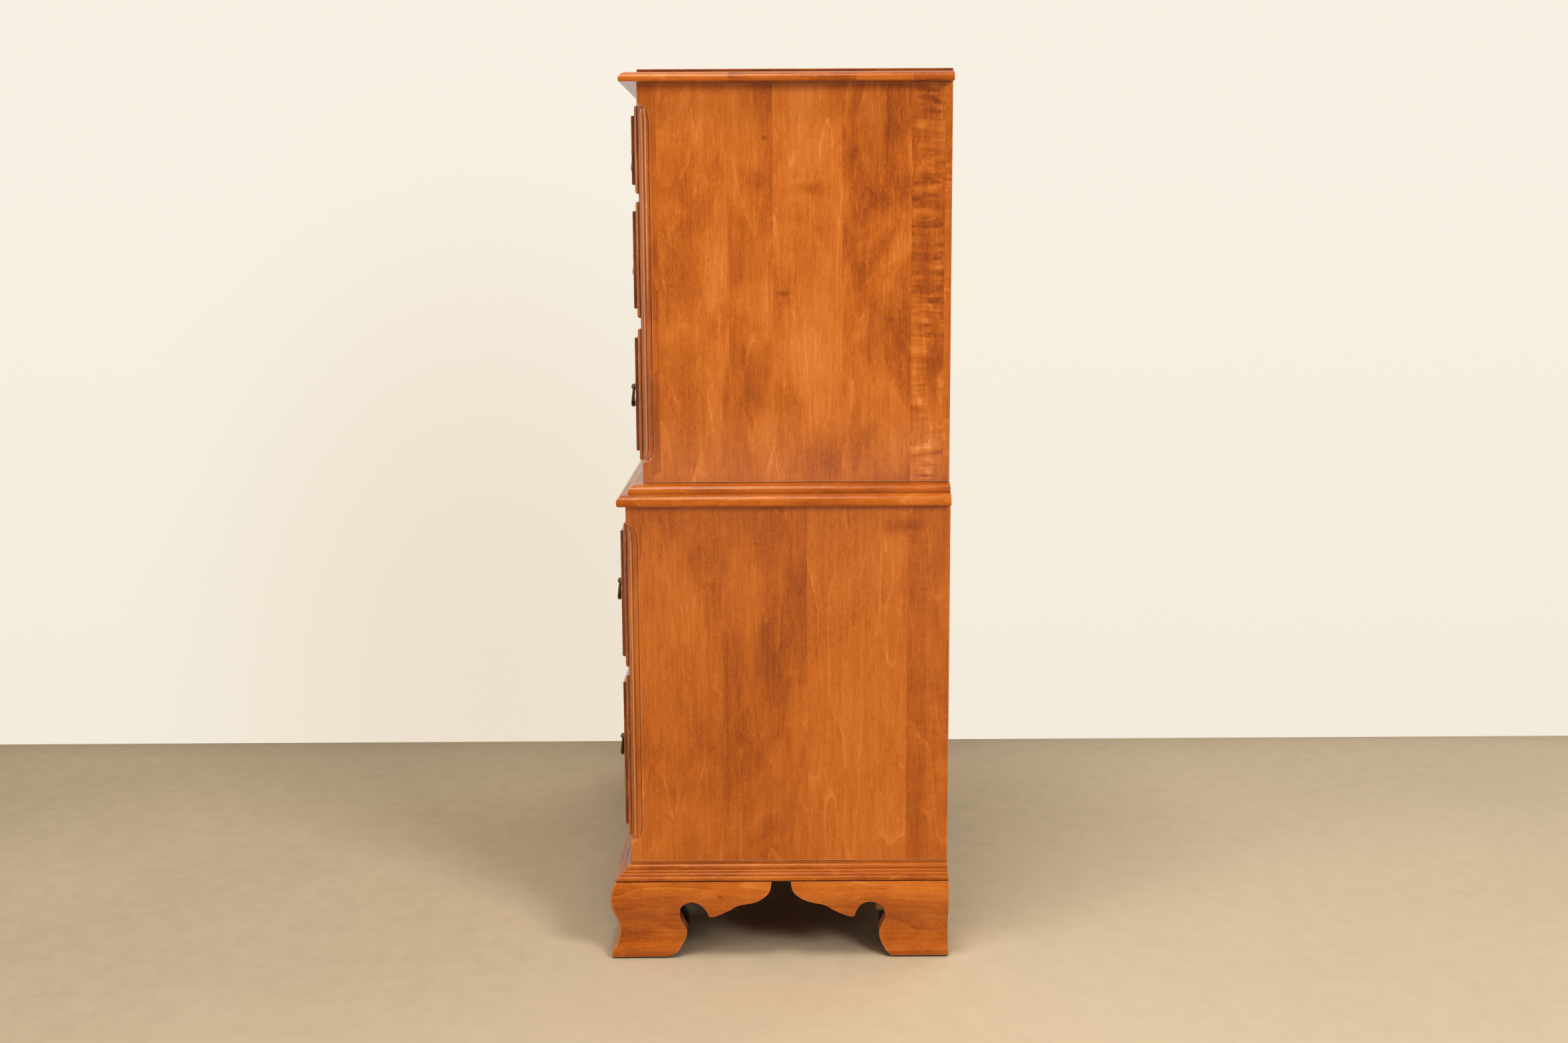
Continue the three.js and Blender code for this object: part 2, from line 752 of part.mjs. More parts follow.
// The dovetails of both sides of a drawer, evenly spaced up its box
function dovetails(drawer, root, clear) {
  const { chest, low, high, left, right } = drawer;
  const bottom = low + lipTop + seam;
  const top = high - lipTop - boxTopGap;
  const count = Math.round((top - bottom) / tailPitch);
  const pitch = (top - bottom) / count;
  const tip = chest.front + bodyThick - tailLength;
  const edge = lipSide + slideClear;
  const pieces = [];
  for (let i = 0; i < count; i++) {
    const middle = bottom + (i + 1 / 2) * pitch;
    const tail = [middle - pitch * tailWidthShare / 2, middle + pitch * tailWidthShare / 2];
    const outer = clear > 0 ? edge - overrun : edge;
    pieces.push(dovetail(tail, root, tip, [left + outer, left + edge + boxSide + clear], clear));
    pieces.push(dovetail(tail, root, tip, [right - outer, right - edge - boxSide - clear], clear));
  }
  return join(...pieces);
}

function drawerFront(drawer) {
  const { chest, low, high, left, right } = drawer;
  const sideIn = lipSide + slideClear;
  const topIn = lipTop + slideClear;
  const field = lipThick + fieldRise;
  const steps = [
    [-bodyThick, sideIn, topIn],
    [seam, sideIn, topIn],
    [seam, 0, 0],
    [lipThick - lipRound, 0, 0],
    ...quarter([0, lipThick - lipRound], [lipRound, lipThick], false).map(([inset, out]) => [out, inset, inset]),
    [lipThick, fieldInset, fieldInset],
    [field - fieldRound, fieldInset + fieldRound / 2, fieldInset + fieldRound / 2],
    [field, fieldInset + fieldRound * 2, fieldInset + fieldRound * 2],
  ];
  const board = loft(steps.map(([proud, x, z]) => [
    new THREE.Vector3(left + x, chest.front - proud, low + z),
    new THREE.Vector3(right - x, chest.front - proud, low + z),
    new THREE.Vector3(right - x, chest.front - proud, high - z),
    new THREE.Vector3(left + x, chest.front - proud, high - z),
  ]));
  return board.subtract(dovetails(drawer, chest.front + bodyThick + overrun, seam));
}

function drawerBox(drawer) {
  const { chest, low, high, left, right } = drawer;
  const x0 = left + lipSide + slideClear;
  const x1 = right - lipSide - slideClear;
  const y0 = chest.front + bodyThick + seam;
  const y1 = boardBack - boxBackGap;
  const z0 = low + lipTop + seam;
  const z1 = high - lipTop - boxTopGap;
  const floor = z0 + bottomRaise;
  return join(
    dovetails(drawer, y0 + seam, 0),
    block([x0, x0 + boxSide], [y0, y1], [z0, z1]),
    block([x1 - boxSide, x1], [y0, y1], [z0, z1]),
    block([x0, x1], [y1 - boxSide, y1], [z0, z1]),
    block([x0, x1], [y0, y1], [floor, floor + boxBottom]),
  );
}

// Handles

// Half of the willow back plate, from its top point round to its lowest, as shares of its half sizes
const plateShares = [
  [0, 1], [0.14, 0.82], [0.3, 0.88], [0.42, 0.62], [0.64, 0.7], [0.86, 0.58], [1, 0.25],
  [0.96, -0.2], [0.78, -0.48], [0.46, -0.56], [0.3, -0.84], [0.13, -0.8], [0, -1],
];

function handlePlate(x, z, field) {
  const scale = [plateWidth / 2, plateHeight / 2];
  const right = plateShares.map(([u, v]) => [x + u * scale[0], z - postRise + v * scale[1]]);
  const left = right.slice(1, -1).map(([u, v]) => [x + x - u, v]).reverse();
  const outline = [...right, ...left].reverse();
  const plate = prism(outline, 'y', field - seam, field - seam - plateThick);
  const posts = [-1, 1].map((way) => {
    const at = [x + way * postSpacing / 2, field, z];
    const profile = [
      [0, -plateThick],
      [roseRadius, -plateThick],
      [neckRadius, -plateThick * 2],
      [neckRadius, headRadius - postReach],
      [headRadius, headRadius / 2 - postReach],
      [headRadius, -headRadius / 2 - postReach],
      [headRadius / 2, -headRadius - postReach],
      [0, -headRadius - postReach],
    ];
    const reach = headRadius * 2;
    const hole = rod(pinRadius + pinClear, 'x', [at[0], field - postReach, z], -reach, reach, postSides);
    return turned(profile, postSides, 'y', at, Math.PI / postSides).subtract(hole);
  });
  return join(plate, ...posts);
}

// The bail's half path from its pin out of the post, down its arm and along its grip, as shares
const bailPathShares = [[0.16, 0.16], [0.11, 0.55], [-0.05, 0.82], [-0.3, 0.96], [-1, 1]];

function bail(x, z, field) {
  const post = postSpacing / 2;
  const arm = headRadius + bailGap + pinRadius;
  const half = [
    [post, 0],
    [post + arm - pinRadius, 0],
    ...bailPathShares.map(([u, v]) => [u < 0 ? (post + arm) * (1 + u) : post + arm + u * arm, -v * bailDrop]),
  ];
  const path = new THREE.CatmullRomCurve3([
    ...half.map(([u, v]) => new THREE.Vector3(u, 0, v)),
    ...half.slice(0, -1).map(([u, v]) => new THREE.Vector3(-u, 0, v)).reverse(),
  ], false, 'centripetal');
  const loops = path.getPoints(bailSteps * 2).map((p, i, all) => {
    const before = all[Math.max(i - 1, 0)];
    const after = all[Math.min(i + 1, all.length - 1)];
    const way = new THREE.Vector3().subVectors(after, before).normalize();
    const across = new THREE.Vector3(0, 1, 0);
    const up = new THREE.Vector3().crossVectors(way, across);
    const depth = Math.min(1, -p.z / bailDrop);
    const radius = pinRadius + (bailMiddle - pinRadius) * Math.max(0, depth);
    const centre = new THREE.Vector3(x + p.x, field - postReach - bailForward * depth, z + p.z);
    return Array.from({ length: bailSides }, (_, k) => {
      const angle = 2 * Math.PI * k / bailSides;
      return centre.clone()
        .addScaledVector(across, radius * Math.cos(angle))
        .addScaledVector(up, radius * Math.sin(angle));
    });
  });
  return loft(loops);
}

// The whole chest
const group = new THREE.Group();

function add(name, solid, finish) {
  const { numProp, vertProperties, triVerts } = solid.getMesh();
  const geometry = new THREE.BufferGeometry();
  const position = new Float32Array(vertProperties.length / numProp * 3);
  for (let i = 0; i < position.length / 3; i++) {
    position.set(vertProperties.subarray(i * numProp, i * numProp + 3), i * 3);
  }
  geometry.setAttribute('position', new THREE.BufferAttribute(position, 3));
  geometry.setIndex(new THREE.BufferAttribute(new Uint32Array(triVerts), 1));
  geometry.computeVertexNormals();
  const mesh = new THREE.Mesh(geometry, new THREE.MeshStandardMaterial(finish));
  mesh.name = name;
  group.add(mesh);
}

const sideNames = [['left', -1], ['right', 1]];

add('top_board', topBoard(), maple);
add('upper_back', backPanel(upperCase), backBoard);
add('upper_frame', caseFrame(upperCase, 1), mapleDark);
add('upper_bottom', caseBottom(upperCase), drawerWood);
add('waist_deck', waistDeck(), maple);
add('lower_back', backPanel(lowerCase), backBoard);
add('lower_frame', caseFrame(lowerCase, lowerRows.length), mapleDark);
add('lower_bottom', caseBottom(lowerCase), drawerWood);
add('base_moulding', baseMoulding(), maple);

const band = footBand();
for (const [word, side] of sideNames) {
  add(`upper_side_${word}`, sidePanel(upperCase, side), maple);
  add(`lower_side_${word}`, sidePanel(lowerCase, side), maple);
  add(`foot_front_${word}`, frontFoot(side, band), maple);
  add(`foot_rear_${word}`, rearFoot(side, band), maple);
  const x = side * (lowerHalf - casterInboard);
  for (const [end, y] of [['front', lowerFront + frontStemBack], ['rear', backY - rearStemForward]]) {
    add(`caster_fork_${end}_${word}`, casterFork(x, y), forkSteel);
    add(`caster_wheel_${end}_${word}`, casterWheel(x, y + casterTrail), tyreBlack);
  }
}

// Rows 1 and 2 hold two half drawers each, rows 3, 4 and 5 one full drawer each
const drawers = [];
[[upperRows[2], 'drawer_1'], [upperRows[1], 'drawer_2']].forEach(([row, name]) => {
  const outer = upperHalf - cornerWidth - stileReveal;
  const inner = centreGap / 2;
  drawers.push(drawerOf(`${name}_left`, upperCase, row, -outer, -inner, [['', -(outer + inner) / 2]]));
  drawers.push(drawerOf(`${name}_right`, upperCase, row, inner, outer, [['', (outer + inner) / 2]]));
});
[[upperCase, upperRows[0], 'drawer_3'], [lowerCase, lowerRows[1], 'drawer_4'], [lowerCase, lowerRows[0], 'drawer_5']]
  .forEach(([chest, row, name]) => {
    const outer = chest.half - cornerWidth - stileReveal;
    const at = chest.half - handleInset;
    drawers.push(drawerOf(name, chest, row, -outer, outer, [['_left', -at], ['_right', at]]));
  });

for (const drawer of drawers) {
  add(`${drawer.name}_front`, drawerFront(drawer), maple);
  add(`${drawer.name}_box`, drawerBox(drawer), drawerWood);
  const field = drawer.chest.front - lipThick - fieldRise;
  const z = (drawer.low + drawer.high) / 2 + postRise;
  for (const [word, x] of drawer.handles) {
    const place = drawer.name.replace('drawer_', '') + word;
    add(`handle_plate_${place}`, handlePlate(x, z, field), oldBrass);
    add(`bail_${place}`, bail(x, z, field), oldBrass);
  }
}

export default group;
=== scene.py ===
import math
import bmesh
import bpy
from mathutils import Matrix, Vector


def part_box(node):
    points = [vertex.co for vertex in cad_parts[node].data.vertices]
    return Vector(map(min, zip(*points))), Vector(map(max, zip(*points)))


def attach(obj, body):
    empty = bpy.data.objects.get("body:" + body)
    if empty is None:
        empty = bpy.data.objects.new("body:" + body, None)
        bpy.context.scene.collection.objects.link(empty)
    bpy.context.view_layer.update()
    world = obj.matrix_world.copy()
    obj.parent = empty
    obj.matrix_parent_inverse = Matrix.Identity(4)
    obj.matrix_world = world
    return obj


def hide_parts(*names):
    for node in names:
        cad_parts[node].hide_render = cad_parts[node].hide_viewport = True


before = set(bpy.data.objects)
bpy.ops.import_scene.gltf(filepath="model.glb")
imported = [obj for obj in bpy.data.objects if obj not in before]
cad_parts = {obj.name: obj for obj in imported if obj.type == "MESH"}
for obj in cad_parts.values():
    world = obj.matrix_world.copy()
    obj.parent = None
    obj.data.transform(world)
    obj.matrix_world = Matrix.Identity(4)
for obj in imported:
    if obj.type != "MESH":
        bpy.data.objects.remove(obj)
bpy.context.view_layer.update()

mm = 0.001  # pieces are modelled in millimetres and scaled when they are finished


# Camera, as the photograph was taken: level with the top drawers, looking down a little at the right side
shot = {
    "place": (3.0065, 0.0002, 1.0515),
    "down": 8.96, "turn": 0.201, "roll": -0.266,  # degrees
    "focalPixels": 2692, "imageWidth": 2357, "sensor": 36, "reach": 60,
}


def addObject(name, data):
    item = bpy.data.objects.new(name, data)
    bpy.context.scene.collection.objects.link(item)
    return item


def placeCamera(s):
    down, turn, roll = (math.radians(s[key]) for key in ("down", "turn", "roll"))
    ahead = Vector((-math.cos(down) * math.cos(turn), math.cos(down) * math.sin(turn), -math.sin(down)))
    level = ahead.cross(Vector((0, 0, 1))).normalized()
    upright = level.cross(ahead)
    right = level * math.cos(roll) + upright * math.sin(roll)
    up = right.cross(ahead)
    data = bpy.data.cameras.new("camera")
    data.sensor_width = s["sensor"]
    data.lens = s["focalPixels"] / s["imageWidth"] * s["sensor"]
    data.clip_end = s["reach"]
    camera = addObject("camera", data)
    camera.matrix_world = Matrix.Translation(s["place"]) @ Matrix((right, up, -ahead)).transposed().to_4x4()
    bpy.context.scene.camera = camera


placeCamera(shot)
bpy.context.scene.view_settings.view_transform = "Standard"


def paint(red, green, blue):
    def channel(c):
        c = c / 255
        return c / 12.92 if c <= 0.04045 else ((c + 0.055) / 1.055) ** 2.4
    return (channel(red), channel(green), channel(blue), 1)


# Light and surroundings
studio = {
    "skyStrength": 0.19,
    "skyColour": (1.0, 0.975, 0.93, 1),
    "backdrop": paint(251, 247, 237),
    "lampColour": (1.0, 0.975, 0.93),
    "lamps": [  # name, place, what it points at, size, watts
        ("keyLamp", (3.2, 2.3, 2.6), (0.2, 0, 0.7), 1.2, 104),
        ("fillLamp", (2.4, -2.9, 1.5), (0.1, 0, 0.8), 1.2, 34),
        ("topLamp", (1.1, -0.3, 3.4), (0.2, 0, 0.9), 0.9, 36),
        ("rearLamp", (-2.6, 2.4, 3.7), (0, 0, 0.5), 2.4, 38),
    ],
    "floorSize": 12,
    "floorTones": (paint(197, 176, 143), paint(217, 197, 165), paint(229, 209, 177)),
    "floorPaintedLight": (0.13, 0.12, 0.45),  # painted light: lighter per metre towards the camera and to the back, and how light it is in the middle
    "floorCloud": (1.6, 5, 0.5, 0.6),  # scale, detail, roughness and strength
    "floorGrit": (24, 6, 0.7, 0.7),
    "floorFinish": {"Roughness": 0.75, "Specular IOR Level": 0.2},
    "floorFade": (2.1, 4.4),  # metres from the chest
    "floorPaintedShade": {"reach": 0.3, "open": (0.6, 0.1), "strength": 0.8, "colour": paint(58, 40, 18)},  # painted shade: the floor darkens under and near things
    "wall": {
        # painted shading: darker low down and lighter high up, and a painted soft shadow beside the chest that darkens
        # towards the shade colour
        "x": -0.68, "half": 12, "height": 5, "low": paint(243, 235, 219), "high": paint(248, 241, 227), "rise": 1.2,
        "shade": paint(232, 217, 194), "paintedShadowCentre": (0, -0.6, 0.2), "paintedShadowSize": (1, 0.85, 1.3),
        "paintedShadowRange": (0.3, 1.2),
    },
    "room": {"x": 7, "half": 12, "height": 5, "colour": paint(150, 143, 129)},
}


# Node helpers: inputs are given by name or number, as a value or as a socket to link
def setInputs(tree, node, inputs):
    for key, value in inputs.items():
        if isinstance(value, bpy.types.NodeSocket):
            tree.links.new(value, node.inputs[key])
        else:
            node.inputs[key].default_value = value


def addNode(tree, kind, inputs=None, **settings):
    node = tree.nodes.new("ShaderNode" + kind)
    for key, value in settings.items():
        setattr(node, key, value)
    setInputs(tree, node, inputs or {})
    return node


def calc(tree, operation, a, b=0.0, c=0.0):
    return addNode(tree, "Math", {0: a, 1: b, 2: c}, operation=operation).outputs[0]


def times(tree, a, b):
    return calc(tree, "MULTIPLY", a, b)


def calcVector(tree, operation, a, b=(0, 0, 0)):
    return addNode(tree, "VectorMath", {0: a, 1: b}, operation=operation).outputs[0]


def lengthOf(tree, vector):
    return addNode(tree, "VectorMath", {0: vector}, operation="LENGTH").outputs["Value"]


def added(tree, value, signal, amount):  # a noise about its middle, added to a value
    return calc(tree, "MULTIPLY_ADD", calc(tree, "SUBTRACT", signal, 0.5), amount, value)


def blendColour(tree, factor, a, b):
    return addNode(tree, "Mix", {0: factor, 6: a, 7: b}, data_type="RGBA").outputs[2]


def stretched(tree, vector, scales, detail=2.0, roughness=0.5, distortion=0.0):
    scaled = addNode(tree, "VectorMath", {0: vector, 1: scales}, operation="MULTIPLY").outputs[0]
    inputs = {"Vector": scaled, "Scale": 1.0, "Detail": detail, "Roughness": roughness, "Distortion": distortion}
    return addNode(tree, "TexNoise", inputs).outputs[0]


def colourRamp(tree, factor, stops, interpolation="LINEAR"):
    node = addNode(tree, "ValToRGB", {0: factor})
    node.color_ramp.interpolation = interpolation
    elements = node.color_ramp.elements
    for i, (at, colour) in enumerate(stops):
        element = elements[i] if i < len(elements) else elements.new(at)
        element.position = at
        element.color = colour
    return node


def between(tree, value, low, high):
    return addNode(tree, "MapRange", {"Value": value, "From Min": low, "From Max": high}).outputs[0]


def falling(tree, value, low, high, top=1.0):  # smoothly from the top down to nothing
    inputs = {"Value": value, "From Min": low, "From Max": high, "To Min": top, "To Max": 0.0}
    return addNode(tree, "MapRange", inputs, interpolation_type="SMOOTHSTEP").outputs[0]


def occlusion(tree, reach, samples=6, inside=False):
    return addNode(tree, "AmbientOcclusion", {"Distance": reach}, samples=samples, inside=inside).outputs["AO"]


def startMaterial(name):
    material = bpy.data.materials.new(name)
    material.use_nodes = True
    tree = material.node_tree
    return material, tree, tree.nodes["Principled BSDF"], addNode(tree, "TexCoord").outputs["Object"]


def setSurface(tree, shader, output="Material Output"):
    tree.links.new(shader, tree.nodes[output].inputs["Surface"])


def seenOnly(tree, shader, other):  # what the camera and mirrors see, and what all other light meets
    path = addNode(tree, "LightPath")
    shown = calc(tree, "MAXIMUM", path.outputs["Is Camera Ray"], path.outputs["Is Glossy Ray"])
    return addNode(tree, "MixShader", {0: shown, 1: other, 2: shader}).outputs[0]


def makeWorld(s):
    world = bpy.data.worlds.new("studio")
    bpy.context.scene.world = world
    world.use_nodes = True
    tree = world.node_tree
    sky = tree.nodes["Background"]
    setInputs(tree, sky, {"Color": s["skyColour"], "Strength": s["skyStrength"]})
    seen = addNode(tree, "Background", {"Color": s["backdrop"]})
    setSurface(tree, seenOnly(tree, seen.outputs[0], sky.outputs[0]), "World Output")
    for name, place, target, size, watts in s["lamps"]:
        data = bpy.data.lights.new(name, "AREA")
        data.size = size
        data.energy = watts
        data.color = s["lampColour"]
        lamp = addObject(name, data)
        lamp.location = place
        lamp.rotation_euler = (Vector(target) - Vector(place)).to_track_quat("-Z", "Y").to_euler()


def stagePlane(name, size, turn, place):
    bm = bmesh.new()
    bmesh.ops.create_grid(bm, x_segments=1, y_segments=1, size=1)
    bmesh.ops.transform(bm, matrix=Matrix.Translation(place) @ turn @ Matrix.Diagonal((*size, 1, 1)), verts=bm.verts)
    mesh = bpy.data.meshes.new(name)
    bm.to_mesh(mesh)
    bm.free()
    plane = addObject(name, mesh)
    return mesh


def uprightPlane(name, s):
    turn = Matrix.Rotation(math.pi / 2, 4, "Y")
    return stagePlane(name, (s["height"], s["half"]), turn, (s["x"], 0, s["height"]))


def makeFloor(s):
    mesh = stagePlane("floor", (s["floorSize"], s["floorSize"]), Matrix(), (0, 0, 0))
    material, tree, shader, place = startMaterial("floor")
    x, y, z = addNode(tree, "SeparateXYZ", {0: place}).outputs
    # painted light: the floor is lighter towards the camera and towards the back
    forwards, back, middle = s["floorPaintedLight"]
    level = calc(tree, "MULTIPLY_ADD", x, forwards, middle)
    level = calc(tree, "MULTIPLY_ADD", y, back, level)
    for scale, detail, roughness, strength in (s["floorCloud"], s["floorGrit"]):
        level = added(tree, level, stretched(tree, place, (scale,) * 3, detail, roughness), strength)
    tone = colourRamp(tree, level, list(zip((0.0, 0.5, 1.0), s["floorTones"]))).outputs[0]
    # painted shade: the floor darkens towards a dark brown wherever other things stand near or over it
    under = s["floorPaintedShade"]
    shade = between(tree, occlusion(tree, under["reach"], samples=8), *under["open"])
    tone = blendColour(tree, times(tree, shade, under["strength"]), tone, under["colour"])
    setInputs(tree, shader, {"Base Color": tone, **s["floorFinish"]})
    fade = between(tree, lengthOf(tree, place), *s["floorFade"])
    haze = addNode(tree, "Emission", {"Color": s["backdrop"]})
    plain = addNode(tree, "BsdfDiffuse", {"Color": s["floorTones"][1]})
    shown = seenOnly(tree, haze.outputs[0], plain.outputs[0])
    setSurface(tree, addNode(tree, "MixShader", {0: fade, 1: shader.outputs[0], 2: shown}).outputs[0])
    mesh.materials.append(material)


def makeWall(s):  # a pale glowing wall behind the chest that lets light through and is not seen from its back; its shading, darker low down, and a soft shadow beside the chest are painted
    mesh = uprightPlane("wall", s)
    material, tree, shader, place = startMaterial("wall")
    z = addNode(tree, "SeparateXYZ", {0: place}).outputs[2]
    # painted shading: darker low down, lighter higher up
    tone = colourRamp(tree, calc(tree, "DIVIDE", z, s["rise"]), [(0.0, s["low"]), (1.0, s["high"])]).outputs[0]
    # a painted soft shadow of the chest, fading out from its centre
    off = calcVector(tree, "DIVIDE", calcVector(tree, "SUBTRACT", place, s["paintedShadowCentre"]), s["paintedShadowSize"])
    paintedShadow = falling(tree, lengthOf(tree, off), *s["paintedShadowRange"])
    lit = addNode(tree, "Emission", {"Color": blendColour(tree, paintedShadow, tone, s["shade"])}).outputs[0]
    clear = addNode(tree, "BsdfTransparent").outputs[0]
    back = addNode(tree, "NewGeometry").outputs["Backfacing"]
    setSurface(tree, addNode(tree, "MixShader", {0: back, 1: seenOnly(tree, lit, clear), 2: clear}).outputs[0])
    mesh.materials.append(material)


def makeRoom(s):  # the darker side of the room as a glowing card that only the gloss mirrors: a painted reflection
    mesh = uprightPlane("room", s)
    material, tree = startMaterial("room")[:2]
    dim = addNode(tree, "Emission", {"Color": s["colour"]}).outputs[0]
    clear = addNode(tree, "BsdfTransparent").outputs[0]
    glossy = addNode(tree, "LightPath").outputs["Is Glossy Ray"]
    setSurface(tree, addNode(tree, "MixShader", {0: glossy, 1: clear, 2: dim}).outputs[0])
    mesh.materials.append(material)


makeWorld(studio)
makeFloor(studio)
makeWall(studio["wall"])
makeRoom(studio["room"])
print("studio ready:", len(studio["lamps"]), "lamps")


# Stained maple, and the plainer woods inside the cases
maple = {
    "tones": [
        (0.0, paint(112, 44, 5)), (0.25, paint(157, 71, 10)), (0.46, paint(187, 94, 20)), (0.62, paint(203, 109, 32)),
        (0.8, paint(218, 126, 53)), (1.0, paint(235, 154, 88)),
    ],
    "cloud": 0.26, "patch": 0.56, "streak": 0.3, "fibre": 0.42, "speckle": 0.5, "ring": 0.14, "rings": 13, "curl": 1.8,
    "pores": 0.3, "rough": 0.3, "specular": 0.25, "tint": (1, 0.7, 0.3, 1),
    "coat": (1.0, 0.18, 1.35),  # weight, roughness and index
    # the last two: how much arrises lighten, for wear and as a painted highlight, and how much recesses and places
    # under overhangs darken, for stain and dirt and as painted shade
    "bump": 0.06, "wearAndSheen": 0.4, "paintedShadeAndDirt": 1.0,
}
plainWood = {
    "tones": [
        (0.0, paint(158, 110, 64)), (0.3, paint(186, 139, 88)), (0.6, paint(207, 164, 112)),
        (1.0, paint(224, 186, 138)),
    ],
    "cloud": 0.12, "patch": 0.4, "streak": 0.4, "fibre": 0.3, "speckle": 0.3, "ring": 0.16, "rings": 16, "curl": 0.3,
    "pores": 0.4, "rough": 0.62, "specular": 0.3, "tint": (1, 1, 1, 1), "coat": (0.0, 0.5, 1.5),
    # the last two: arrises lighten for wear and as a painted highlight, recesses darken for dirt and as painted shade
    "bump": 0.14, "wearAndSheen": 0.15, "paintedShadeAndDirt": 0.5,
}
backPly = dict(
    plainWood, cloud=0.16, streak=0.45, ring=0.3, rings=11, pores=0.5, rough=0.7, bump=0.18, wearAndSheen=0.1,
    tones=[(0.0, paint(96, 60, 31)), (0.35, paint(126, 82, 45)), (0.7, paint(145, 98, 57)), (1.0, paint(164, 116, 70))])
noises = {  # waves per metre across, through and along the grain, then detail, roughness and distortion
    "cloud": ((10, 10, 5), 4, 0.6, 0.5),
    "patch": ((30, 30, 14), 4, 0.6, 0.6),
    "streak": ((130, 130, 4), 3, 0.55, 0.0),
    "fibre": ((600, 600, 26), 3, 0.55, 0.0),
    "speckle": ((820, 820, 190), 3, 0.55, 0.0),
    "rings": ((9, 9, 1.5), 2, 0.5, 0.0),
    "pores": ((1500, 1500, 70), 2, 0.55, 0.0),
    "curl": ((15, 15, 90), 2, 0.55, 0.8),
}
figure = {
    "staveSpan": 0.6,  # metres that the staves' ramp covers
    "cloudEdges": (0.4, 0.6), "ringPatches": (0.4, 0.6), "curlPatches": (0.42, 0.6), "poreEdges": (0.64, 0.74),
    "poreDark": 0.62, "ringLine": 0.14, "ringShade": -0.6, "spotEdge": 1.2, "roughSpread": 0.14, "bumpDepth": 0.0006,
}
ageingAndPaintedLight = {  # reaches in metres, and how open a place is where wear and a painted highlight, or dirt and painted shade, start and where they are full
    "rubReach": 0.0022, "rubOpen": (0.9, 0.5), "rubSheenShare": 0.55, "rubSheenColour": paint(240, 176, 118),
    "nearReach": 0.005, "nearOpen": (0.75, 0.35), "wideReach": 0.02, "wideOpen": (0.85, 0.1), "wideShare": 0.6,
    "paintedShadeAndDirtDark": 0.85, "paintedShadeAndDirtColour": (0.012, 0.006, 0.003, 1),
}


# Where the grain turns: 1 where a board's sides are seen, past its mitre
def sideMask(tree, axes, mitre):
    half, front, reach = (value * mm for value in mitre)
    out = calc(tree, "SUBTRACT", calc(tree, "ABSOLUTE", axes[0]), half)
    fore = calc(tree, "SUBTRACT", front, axes[1])
    limit = calc(tree, "MAXIMUM", fore, -reach)
    return calc(tree, "GREATER_THAN", out, limit)


def grainVector(tree, axes, grain):
    x, y, z = axes
    order = {"x": (y, z, x), "y": (x, z, y), "z": (y, x, z)}[grain]
    return addNode(tree, "CombineXYZ", dict(enumerate(order))).outputs[0]


# staves: (edge in mm across the board, tone, mottling, curl) from the first edge up
def staveBands(tree, across, staves):
    span = figure["staveSpan"]
    stops = [(edge * mm / span + 0.5 if i else 0.0, (0.5 + lift, mottle, ripple, 0.05 + i * 0.09))
             for i, (edge, lift, mottle, ripple) in enumerate(staves)]
    return colourRamp(tree, calc(tree, "MULTIPLY_ADD", across, 1 / span, 0.5), stops, "CONSTANT").outputs


def spotDepth(tree, place, patch, spot):
    y, z, width, height, depth = spot
    far = calcVector(tree, "SUBTRACT", place, (0, y * mm, z * mm))
    flat = calcVector(tree, "MULTIPLY", far, (0, 1 / (width * mm), 1 / (height * mm)))
    return falling(tree, added(tree, lengthOf(tree, flat), patch, figure["spotEdge"]), 0.0, 1.0, depth)


# lighter where arrises are rubbed, as wear and as a painted highlight; darker in corners, creases and under overhangs,
# as stain and dirt there and as painted shade
def agedColourWithPaintedLight(tree, colour, wood):
    a = ageingAndPaintedLight
    # wear and a painted highlight: convex arrises blend towards a pale tone
    rubbedAndSheen = between(tree, occlusion(tree, a["rubReach"], inside=True), *a["rubOpen"])
    light = blendColour(tree, a["rubSheenShare"], colour, a["rubSheenColour"])
    colour = blendColour(tree, times(tree, rubbedAndSheen, wood["wearAndSheen"]), colour, light)
    # painted shade with stain and dirt: a near mask darkens seams and creases, and a wide one darkens the shade under
    # overhangs
    near = between(tree, occlusion(tree, a["nearReach"]), *a["nearOpen"])
    wide = between(tree, occlusion(tree, a["wideReach"]), *a["wideOpen"])
    shadeAndGrime = calc(tree, "MAXIMUM", near, times(tree, wide, a["wideShare"]))
    dark = blendColour(tree, a["paintedShadeAndDirtDark"], colour, a["paintedShadeAndDirtColour"])
    return blendColour(tree, times(tree, shadeAndGrime, wood["paintedShadeAndDirt"]), colour, dark)


